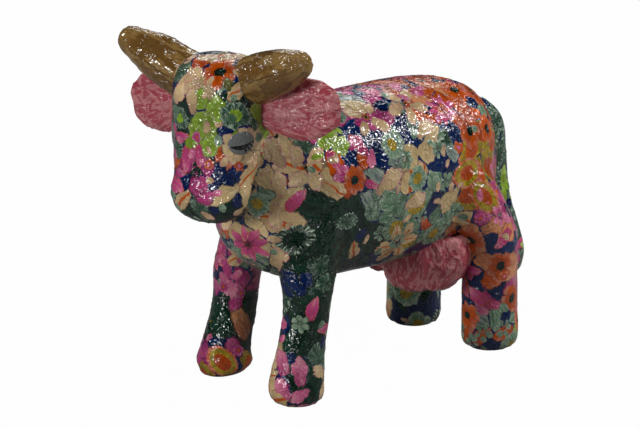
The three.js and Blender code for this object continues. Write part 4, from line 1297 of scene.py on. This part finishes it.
def finish_for(slot):
    """The slot's material, made when it is first asked for."""
    name = "%s_finish" % slot
    paints = bpy.context.scene.cow_paints
    if name in bpy.data.materials:
        return bpy.data.materials[name]
    if slot == "printed_paper":
        return printed_paper(name)
    if slot == "pink_paper":
        return combed_paper(
            name, paints.pink, paints.pale_pink, darker(paints.pink, 0.66), **PINK_STROKES)
    if slot == "bronze_paper":
        return combed_paper(
            name, paints.umber, paints.bronze, darker(paints.umber, 0.7), **HORN_STROKES)
    return (eyelid_paper if slot == "grey_paper" else bare_card)(name, paints)


# Pieces

def add_piece(name, skin, slot, nodes, channels=None, normals=None):
    """Makes an object of a skin, with what its material reads at each point."""
    mesh = skin.mesh(name)
    mesh.shade_smooth()
    for channel, values in (channels or {}).items():
        layer = mesh.attributes.new(channel, "FLOAT_COLOR", "POINT")
        layer.data.foreach_set("color", np.ascontiguousarray(values, dtype=np.float32).ravel())
    if normals is not None:
        mesh.normals_split_custom_set_from_vertices(normals.tolist())
    mesh.materials.append(finish_for(slot))
    piece = added(name, mesh)
    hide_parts(*nodes)
    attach(piece, "root")


def printed_piece(name, part, whole, channels, nodes):
    """A part cut from a printed skin, with the print and the normals of the whole."""
    tree = finder(whole.points)
    rows = np.array([tree.find(point)[1] for point in part.points])
    add_piece(name, part, "printed_paper", nodes,
              {channel: values[rows] for channel, values in channels.items()},
              whole.normals()[rows])


def own(u, v):
    """A piece's own coordinates, as its material reads them."""
    return {"own": np.stack([u, v, u * 0, u * 0 + 1], -1)}


def columns(*values):
    return np.stack(np.broadcast_arrays(*values), -1)


# The widths of a skin's faces and the rounds of smoothing, for each kind of piece
BODY_MESH = (1.0, 14)
HEAD_MESH = (0.8, 10)
UDDER_MESH = (0.9, 16)
TAIL_MESH = (0.9, 12)


def moulded(forms, plan, mesh):
    """One smooth skin round forms that run into each other."""
    fineness, rounds = mesh
    return fused(forms, plan.sizes.fineness * fineness).smooth(rounds)


PLEAT_HEIGHT = 15 * MM
PLEAT_DEPTH = 1.5 * MM


def pleated_feet(skin, plan):
    """Puckers the paper where it is folded under each foot."""
    amount = np.zeros(len(skin.points))
    low = np.clip(1 - skin.points[:, 2] / PLEAT_HEIGHT, 0, 1)
    for number, leg in enumerate(plan.legs().values()):
        x, y = (skin.points[:, :2] - (leg.side * plan.side_x, leg.foot_y)).T
        near = np.hypot(x, y) < plan.sizes.rear_foot * 1.4
        fan = np.arctan2(y, x)
        folds = noise(columns(np.cos(fan) * 3, np.sin(fan) * 3, number), seed=91)
        amount += near * low * folds * PLEAT_DEPTH
    return skin.push(amount)


def head_skin(plan):
    """The whole head, before it is moved to its place."""
    whole = moulded([plan.head()], plan, HEAD_MESH)
    return handmade(whole, seed=5, lump=0.5 * MM, crease=0.35 * MM)


# The printed skin ends this far above the floor, and the soles reach the floor
SKIN_LIFT = 0.5 * MM


class CowBodyOperator(bpy.types.Operator):
    """Adds the printed paper skin of the trunk and the four legs"""
    bl_idname = "cow.add_body"
    bl_label = "Body and legs"

    def execute(self, context):
        plan = Plan(context.scene.cow_sizes)
        forms = [plan.trunk(), plan.neck()]
        for leg in plan.legs().values():
            forms += [plan.flank(leg), plan.shaft(leg)]
        whole = moulded(forms, plan, BODY_MESH)
        handmade(whole, seed=3, lump=0.7 * MM, crease=0.4 * MM)
        pleated_feet(whole, plan)
        whole.points[:, 2] = np.maximum(whole.points[:, 2], SKIN_LIFT)
        whole.points += CENTRE
        channels = printed(whole, ZONES, seed=11)
        seam = (CENTRE[0], 0, plan.leg_joint)
        upper = cut(whole, (seam, -Z))
        strips = {"left": "back_seam_strip", "right": "belly_seam_strip"}
        for name, side in SIDES:
            half = cut(upper, (seam, -X * side))
            printed_piece("trunk_skin_%s" % name, half, whole, channels,
                          ["trunk_shell_%s" % name, strips[name]])
        lower = cut(whole, (seam, Z))
        for name, leg in plan.legs().items():
            ahead = Y if leg.foot_y < 0 else -Y
            skin = cut(lower, (seam, -X * leg.side), ((0, CENTRE[1], 0), ahead))
            printed_piece("%s_leg_skin" % name, skin, whole, channels, ["%s_leg" % name])
        return {"FINISHED"}


class CowHeadOperator(bpy.types.Operator):
    """Adds the printed paper skin of the head"""
    bl_idname = "cow.add_head"
    bl_label = "Head"

    def execute(self, context):
        plan = Plan(context.scene.cow_sizes)
        whole = head_skin(plan)
        whole.points += CENTRE
        channels = printed(whole, ZONES, seed=23)
        nodes = {"left": ["head_shell_left", "neck_sleeve"], "right": ["head_shell_right"]}
        for name, side in SIDES:
            half = cut(whole, (plan.head_pivot + CENTRE, plan.head_way(-side, 0, 0)))
            printed_piece("head_skin_%s" % name, half, whole, channels, nodes[name])
        return {"FINISHED"}


SOLE_THICKNESS = 1.2 * MM
# Rings of a sole: up through it, and how many millimetres in from its edge
SOLE_PROFILE = ((0.0, 0.3), (0.3, 0.0), (0.7, 0.0), (1.0, 0.3))
SOLE_WAVES, SOLE_WAVE = 5 * MM, 0.35 * MM


class CowSolesOperator(bpy.types.Operator):
    """Adds the card soles under the feet"""
    bl_idname = "cow.add_soles"
    bl_label = "Soles"

    def execute(self, context):
        plan = Plan(context.scene.cow_sizes)
        for name, leg in plan.legs().items():
            at, lean = plan.foot_plane(leg)
            radius = leg.foot - plan.sizes.foot_edge + SOLE_THICKNESS
            stations = [station(at + lean @ Z * SOLE_THICKNESS * reach, lean @ X, lean @ Y,
                                radius - inset * MM, radius - inset * MM)
                        for reach, inset in SOLE_PROFILE]
            skin = loft(stations, steps=3)
            uneven = noise(skin.points / SOLE_WAVES, seed=41) * SOLE_WAVE
            away = skin.points - at
            away[:, 2] = 0
            skin.points += away / radius * uneven[:, None]
            skin.points[:, 2] = np.maximum(skin.points[:, 2], 0)
            skin.points += CENTRE
            add_piece("%s_sole_card" % name, skin, "card", ["%s_sole" % name])
        return {"FINISHED"}


# Depths of a horn's ridges, lumps and creases, and the width of its tip without ridges
HORN_RIDGE, HORN_LUMP, HORN_CREASE = 0.5 * MM, 1.0 * MM, 0.35 * MM
HORN_PLAIN_TIP = 5 * MM


class CowHornsOperator(bpy.types.Operator):
    """Adds the ridged bronze horns"""
    bl_idname = "cow.add_horns"
    bl_label = "Horns"

    def execute(self, context):
        plan = Plan(context.scene.cow_sizes)
        for name, side in SIDES:
            skin = plan.horn(side)
            root, _, across, up = plan.horn_frame(side)
            axis = np.cross(up, across)
            down = np.cross(axis, across)
            offset = skin.points - root
            along = offset @ axis / MM
            turned = np.arctan2(offset @ down, offset @ across)
            radius = np.hypot(offset @ down, offset @ across)
            grain = columns(np.cos(turned) * 2.6, np.sin(turned) * 2.6, along / 26)
            ridges = noise(grain, 51 + side) + 0.6 * noise(grain * 2.1, 55 + side)
            ridges *= np.clip(radius / HORN_PLAIN_TIP, 0, 1)
            lumps = noise(skin.points / (16 * MM), seed=57)
            skin.push(HORN_RIDGE * ridges + HORN_LUMP * lumps)
            skin.push(HORN_CREASE * creases(skin.points, seed=60 + side, spacing=8 * MM))
            skin.points += CENTRE
            add_piece("horn_%s_paper" % name, skin, "bronze_paper",
                      ["horn_%s" % name, "horn_peg_%s" % name], own(along, turned * 11))
        return {"FINISHED"}


# Depths of an ear's hollow, pleats, lumps and creases
EAR_HOLLOW, EAR_PLEAT, EAR_LUMP, EAR_CREASE = 1.6 * MM, 1.5 * MM, 0.6 * MM, 0.4 * MM


class CowEarsOperator(bpy.types.Operator):
    """Adds the pleated pink ears"""
    bl_idname = "cow.add_ears"
    bl_label = "Ears"

    def execute(self, context):
        plan = Plan(context.scene.cow_sizes)
        s = plan.sizes
        for name, side in SIDES:
            skin = plan.ear(side)
            root, axis, across, up = plan.ear_frame(side)
            offset = skin.points - root
            along, height = offset @ axis / s.ear_length, offset @ up / (s.ear_height / 2)
            fan = height / np.clip(0.35 + along, 0.3, 1.2)
            pleats = noise(columns(fan * 2.6, along * 1.2, side), seed=71)
            cup = np.exp(-((height - 0.1) / 0.5) ** 2) * np.clip(1.2 - along, 0, 1)
            front = np.sign((skin.normals() @ across) * -(across @ plan.head_way(0, 1, 0)))
            skin.push(np.where(front > 0, -EAR_HOLLOW * cup, 0) + EAR_PLEAT * pleats
                      + EAR_LUMP * noise(skin.points / (9 * MM), seed=73)
                      + EAR_CREASE * creases(skin.points, seed=75, spacing=7 * MM))
            skin.points += CENTRE
            add_piece("ear_%s_paper" % name, skin, "pink_paper", ["ear_%s" % name],
                      own(along * s.ear_length / MM, fan * 15))
        return {"FINISHED"}


# How far forward and up a cheek faces for each unit outward
EYE_WAY = (-0.66, 0.02)
LID_RINGS, LID_AROUND = 14, 64
LID_EDGE, LID_EDGE_BELOW, LID_CROWN = 0.2 * MM, 0.5 * MM, 0.5 * MM
MICRON = 0.001 * MM


class CowEyelidsOperator(bpy.types.Operator):
    """Adds the closed grey eyelids"""
    bl_idname = "cow.add_eyelids"
    bl_label = "Eyelids"

    def execute(self, context):
        plan = Plan(context.scene.cow_sizes)
        s = plan.sizes
        head = head_skin(plan)
        tree = BVHTree.FromPolygons(head.points.tolist(), head.faces())
        base = plan.on_head(0, s.head_depth * EYE_BACK, plan.head_top - s.eye_drop)
        for name, side in SIDES:
            outward = plan.head_way(side, *EYE_WAY)
            level_way = unit(np.cross(outward, plan.head_way(0, 0, 1)))
            along = about(outward, side * s.lid_tilt) @ level_way * s.eyelid_length / 2
            up = np.cross(unit(along), outward) * s.eyelid_height / 2
            skin, u, v = self.lid(tree, base, outward * s.head_width, along, up)
            skin.points += CENTRE
            add_piece("eyelid_%s_paper" % name, skin, "grey_paper", ["eyelid_%s" % name],
                      own(u * -side, v))
        return {"FINISHED"}

    @staticmethod
    def lid(tree, base, outward, along, up):
        """A thin crowned disc on the head, and how far along and up it each point is."""
        points, shares = [], []
        for front in (True, False):
            for r in np.linspace(0, 1, LID_RINGS):
                crown = LID_EDGE + LID_CROWN * math.sqrt(max(0, 1 - r * r))
                rise = unit(outward) * (crown if front else -LID_EDGE_BELOW)
                for angle in 2 * np.pi * np.arange(LID_AROUND) / LID_AROUND:
                    u, v = r * math.cos(angle), r * math.sin(angle)
                    start = Vector(base + along * u + up * v + outward)
                    points.append(np.array(tree.ray_cast(start, Vector(-outward))[0]) + rise)
                    shares.append((u, v))
        front = np.roll(bands(LID_RINGS, LID_AROUND)[:, ::-1], 1, axis=1)
        back = front[:, ::-1] + LID_RINGS * LID_AROUND
        k = np.arange(LID_AROUND) + (LID_RINGS - 1) * LID_AROUND
        then = np.roll(k, -1)
        rim = np.stack([k, k + LID_RINGS * LID_AROUND, then + LID_RINGS * LID_AROUND, then], -1)
        skin = Skin(np.array(points), np.vstack([front, back, rim])).facing_out()
        # The points of each middle ring share a place, and become one
        keys = np.round(skin.points / MICRON).astype(np.int64)
        _, first, inverse = np.unique(keys, axis=0, return_index=True, return_inverse=True)
        corners = [list(dict.fromkeys(row)) for row in inverse.ravel()[skin.corners].tolist()]
        corners = [(row + row[-1:])[:4] for row in corners if len(row) > 2]
        return Skin(skin.points[first], np.array(corners)), *np.array(shares)[first].T


# Distances between pleats across, along and down: they run down
UDDER_PLEATS = np.array([7, 7, 26]) * MM
UDDER_PLEAT, UDDER_LUMP, UDDER_CREASE = 1.9 * MM, 1.2 * MM, 0.5 * MM


class CowUdderOperator(bpy.types.Operator):
    """Adds the lumpy pink udder"""
    bl_idname = "cow.add_udder"
    bl_label = "Udder"

    def execute(self, context):
        plan = Plan(context.scene.cow_sizes)
        skin = moulded(plan.udder(), plan, UDDER_MESH)
        p = skin.points
        skin.push(UDDER_PLEAT * noise(p / UDDER_PLEATS, seed=81)
                  + UDDER_LUMP * noise(p / (15 * MM), seed=83)
                  + UDDER_CREASE * creases(p, seed=85, spacing=9 * MM))
        around = np.arctan2(p[:, 1] - (plan.rear_y - plan.sizes.udder_lead), p[:, 0])
        skin.points += CENTRE
        add_piece("udder_paper", skin, "pink_paper", ["udder"], own(p[:, 2] / MM, around * 26))
        return {"FINISHED"}


class CowTailOperator(bpy.types.Operator):
    """Adds the tail, laid on the rump"""
    bl_idname = "cow.add_tail"
    bl_label = "Tail"

    def execute(self, context):
        plan = Plan(context.scene.cow_sizes)
        skin = moulded([plan.tail()], plan, TAIL_MESH)
        handmade(skin, seed=9, lump=0.7 * MM, crease=0.5 * MM)
        skin.points += CENTRE
        channels = printed(skin, TAIL_ZONES, seed=37)
        printed_piece("tail_skin", skin, skin, channels, ["tail"])
        return {"FINISHED"}


# Stage: floor, lamps and camera

CAMERA_AZIMUTH = math.radians(47.2)
CAMERA_ELEVATION = math.radians(16.3)
CAMERA_LENS = 260.0
SENSOR = 36.0
CLIP_END = 50.0
# The picture's size in pixels, its scale, and where it has the floor point between the feet
PICTURE = (640, 427)
PIXELS_PER_METRE = 1000 / 0.6
FEET_AT = (357.0, 361.2)
AIM = np.array([0, 0, 0.110])
FLOOR_REACH = 3.0
# How much of the floor is plain white to the camera. The rest shows the shadow
FLOOR_WHITE = 0.985
ROOM_LIGHT = 0.02
LAMPS = (
    # azimuth, elevation, distance, width, height, watts
    (139, 32, 1.1, 0.16, 0.14, 5.6), (166, 22, 1.2, 0.12, 0.12, 2.2),
    (227, 33, 1.2, 0.70, 0.25, 3.0), (76, 12, 1.4, 0.50, 0.40, 1.5),
    (-6, 9, 1.2, 0.12, 0.26, 4.6), (40, 62, 1.2, 0.32, 0.22, 3.0),
    (-58, 33, 1.2, 0.11, 0.11, 2.6),
)


def away_at(azimuth, elevation):
    """The way from the cow to something that stands at these angles round it."""
    return np.array([math.sin(azimuth) * math.cos(elevation),
                     -math.cos(azimuth) * math.cos(elevation), math.sin(elevation)])


def camera_place():
    """Where the camera stands and which way it looks, from where the feet are in the picture."""
    right = np.array([math.cos(CAMERA_AZIMUTH), math.sin(CAMERA_AZIMUTH), 0])
    look = -away_at(CAMERA_AZIMUTH, CAMERA_ELEVATION)
    up = np.cross(right, look)
    distance = CAMERA_LENS / SENSOR * PICTURE[0] / PIXELS_PER_METRE
    across = (FEET_AT[0] - PICTURE[0] / 2) / PIXELS_PER_METRE
    down = (FEET_AT[1] - PICTURE[1] / 2) / PIXELS_PER_METRE
    target = down * up - across * right
    target = target + look * ((AIM - target) @ look)
    return CENTRE + target - look * distance, look


def aim(thing, look):
    thing.rotation_euler = Vector(look).to_track_quat("-Z", "Y").to_euler()


class CowStageOperator(bpy.types.Operator):
    """Adds the floor, the lamps and the camera"""
    bl_idname = "cow.add_stage"
    bl_label = "Stage"

    def execute(self, context):
        self.add_floor(context.scene)
        for number, lamp in enumerate(LAMPS):
            self.add_lamp(number, *lamp)
        self.add_world(context.scene)
        self.add_camera(context.scene)
        return {"FINISHED"}

    @staticmethod
    def white_to_camera(finish, shader, white, share):
        """A shader that the camera sees as white, for that share."""
        ray = Value(finish, finish.node("ShaderNodeLightPath").outputs["Is Camera Ray"])
        return finish.show(finish.node("ShaderNodeMixShader", inputs={
            0: ray * share, 1: shader.outputs[0], 2: white.outputs[0]}))

    def add_floor(self, scene):
        r = FLOOR_REACH
        mesh = bpy.data.meshes.new("floor")
        mesh.from_pydata([(-r, -r, 0), (r, -r, 0), (r, r, 0), (-r, r, 0)], [], [(0, 1, 2, 3)])
        finish = Finish(bpy.data.materials.new("floor"))
        cloth = finish.node("ShaderNodeBsdfDiffuse", inputs={"Color": (*scene.cow_paints.floor, 1)})
        white = finish.node("ShaderNodeEmission", inputs={"Color": (1, 1, 1, 1), "Strength": 1.0})
        mesh.materials.append(self.white_to_camera(finish, cloth, white, FLOOR_WHITE))
        floor = added("floor", mesh)

    @staticmethod
    def add_lamp(number, azimuth, elevation, distance, width, height, watts):
        light = bpy.data.lights.new("softbox_%d" % number, "AREA")
        light.shape = "RECTANGLE"
        light.size, light.size_y = width, height
        light.energy = watts
        away = away_at(math.radians(azimuth), math.radians(elevation))
        lamp = added(light.name, light)
        lamp.location = CENTRE + AIM + away * distance
        aim(lamp, -away)

    def add_world(self, scene):
        scene.world = bpy.data.worlds.new("studio")
        finish = Finish(scene.world, "ShaderNodeOutputWorld")
        room, white = (
            finish.node("ShaderNodeBackground", inputs={
                "Color": (1, 1, 1, 1), "Strength": strength})
            for strength in (ROOM_LIGHT, 1.0))
        self.white_to_camera(finish, room, white, 1.0)
        scene.view_settings.view_transform = "Standard"

    @staticmethod
    def add_camera(scene):
        data = bpy.data.cameras.new("camera")
        data.lens = CAMERA_LENS
        data.sensor_width = SENSOR
        data.clip_end = CLIP_END
        camera = added("camera", data)
        camera.location, look = camera_place()
        aim(camera, look)
        scene.camera = camera


STEPS = (CowStageOperator, CowBodyOperator, CowHeadOperator, CowSolesOperator, CowHornsOperator,
         CowEarsOperator, CowEyelidsOperator, CowUdderOperator, CowTailOperator)


class COW_PT_panel(bpy.types.Panel):
    """The cow's steps, sizes and paints"""
    bl_label = "Papier-mache cow"
    bl_idname = "COW_PT_panel"
    bl_space_type = "VIEW_3D"
    bl_region_type = "UI"
    bl_category = "Cow"

    def draw(self, context):
        for step in STEPS:
            self.layout.operator(step.bl_idname)
        for group in (context.scene.cow_sizes, context.scene.cow_paints):
            box = self.layout.box()
            for key in group.__annotations__:
                box.prop(group, key)


CLASSES = (CowSizes, CowPaints, *STEPS, COW_PT_panel)


def register():
    for cls in CLASSES:
        bpy.utils.register_class(cls)
    bpy.types.Scene.cow_sizes = bpy.props.PointerProperty(type=CowSizes)
    bpy.types.Scene.cow_paints = bpy.props.PointerProperty(type=CowPaints)


def unregister():
    del bpy.types.Scene.cow_paints
    del bpy.types.Scene.cow_sizes
    for cls in reversed(CLASSES):
        bpy.utils.unregister_class(cls)


def main():
    register()
    for step in STEPS:
        group, name = step.bl_idname.split(".")
        getattr(getattr(bpy.ops, group), name)()


if __name__ == "__main__":
    main()
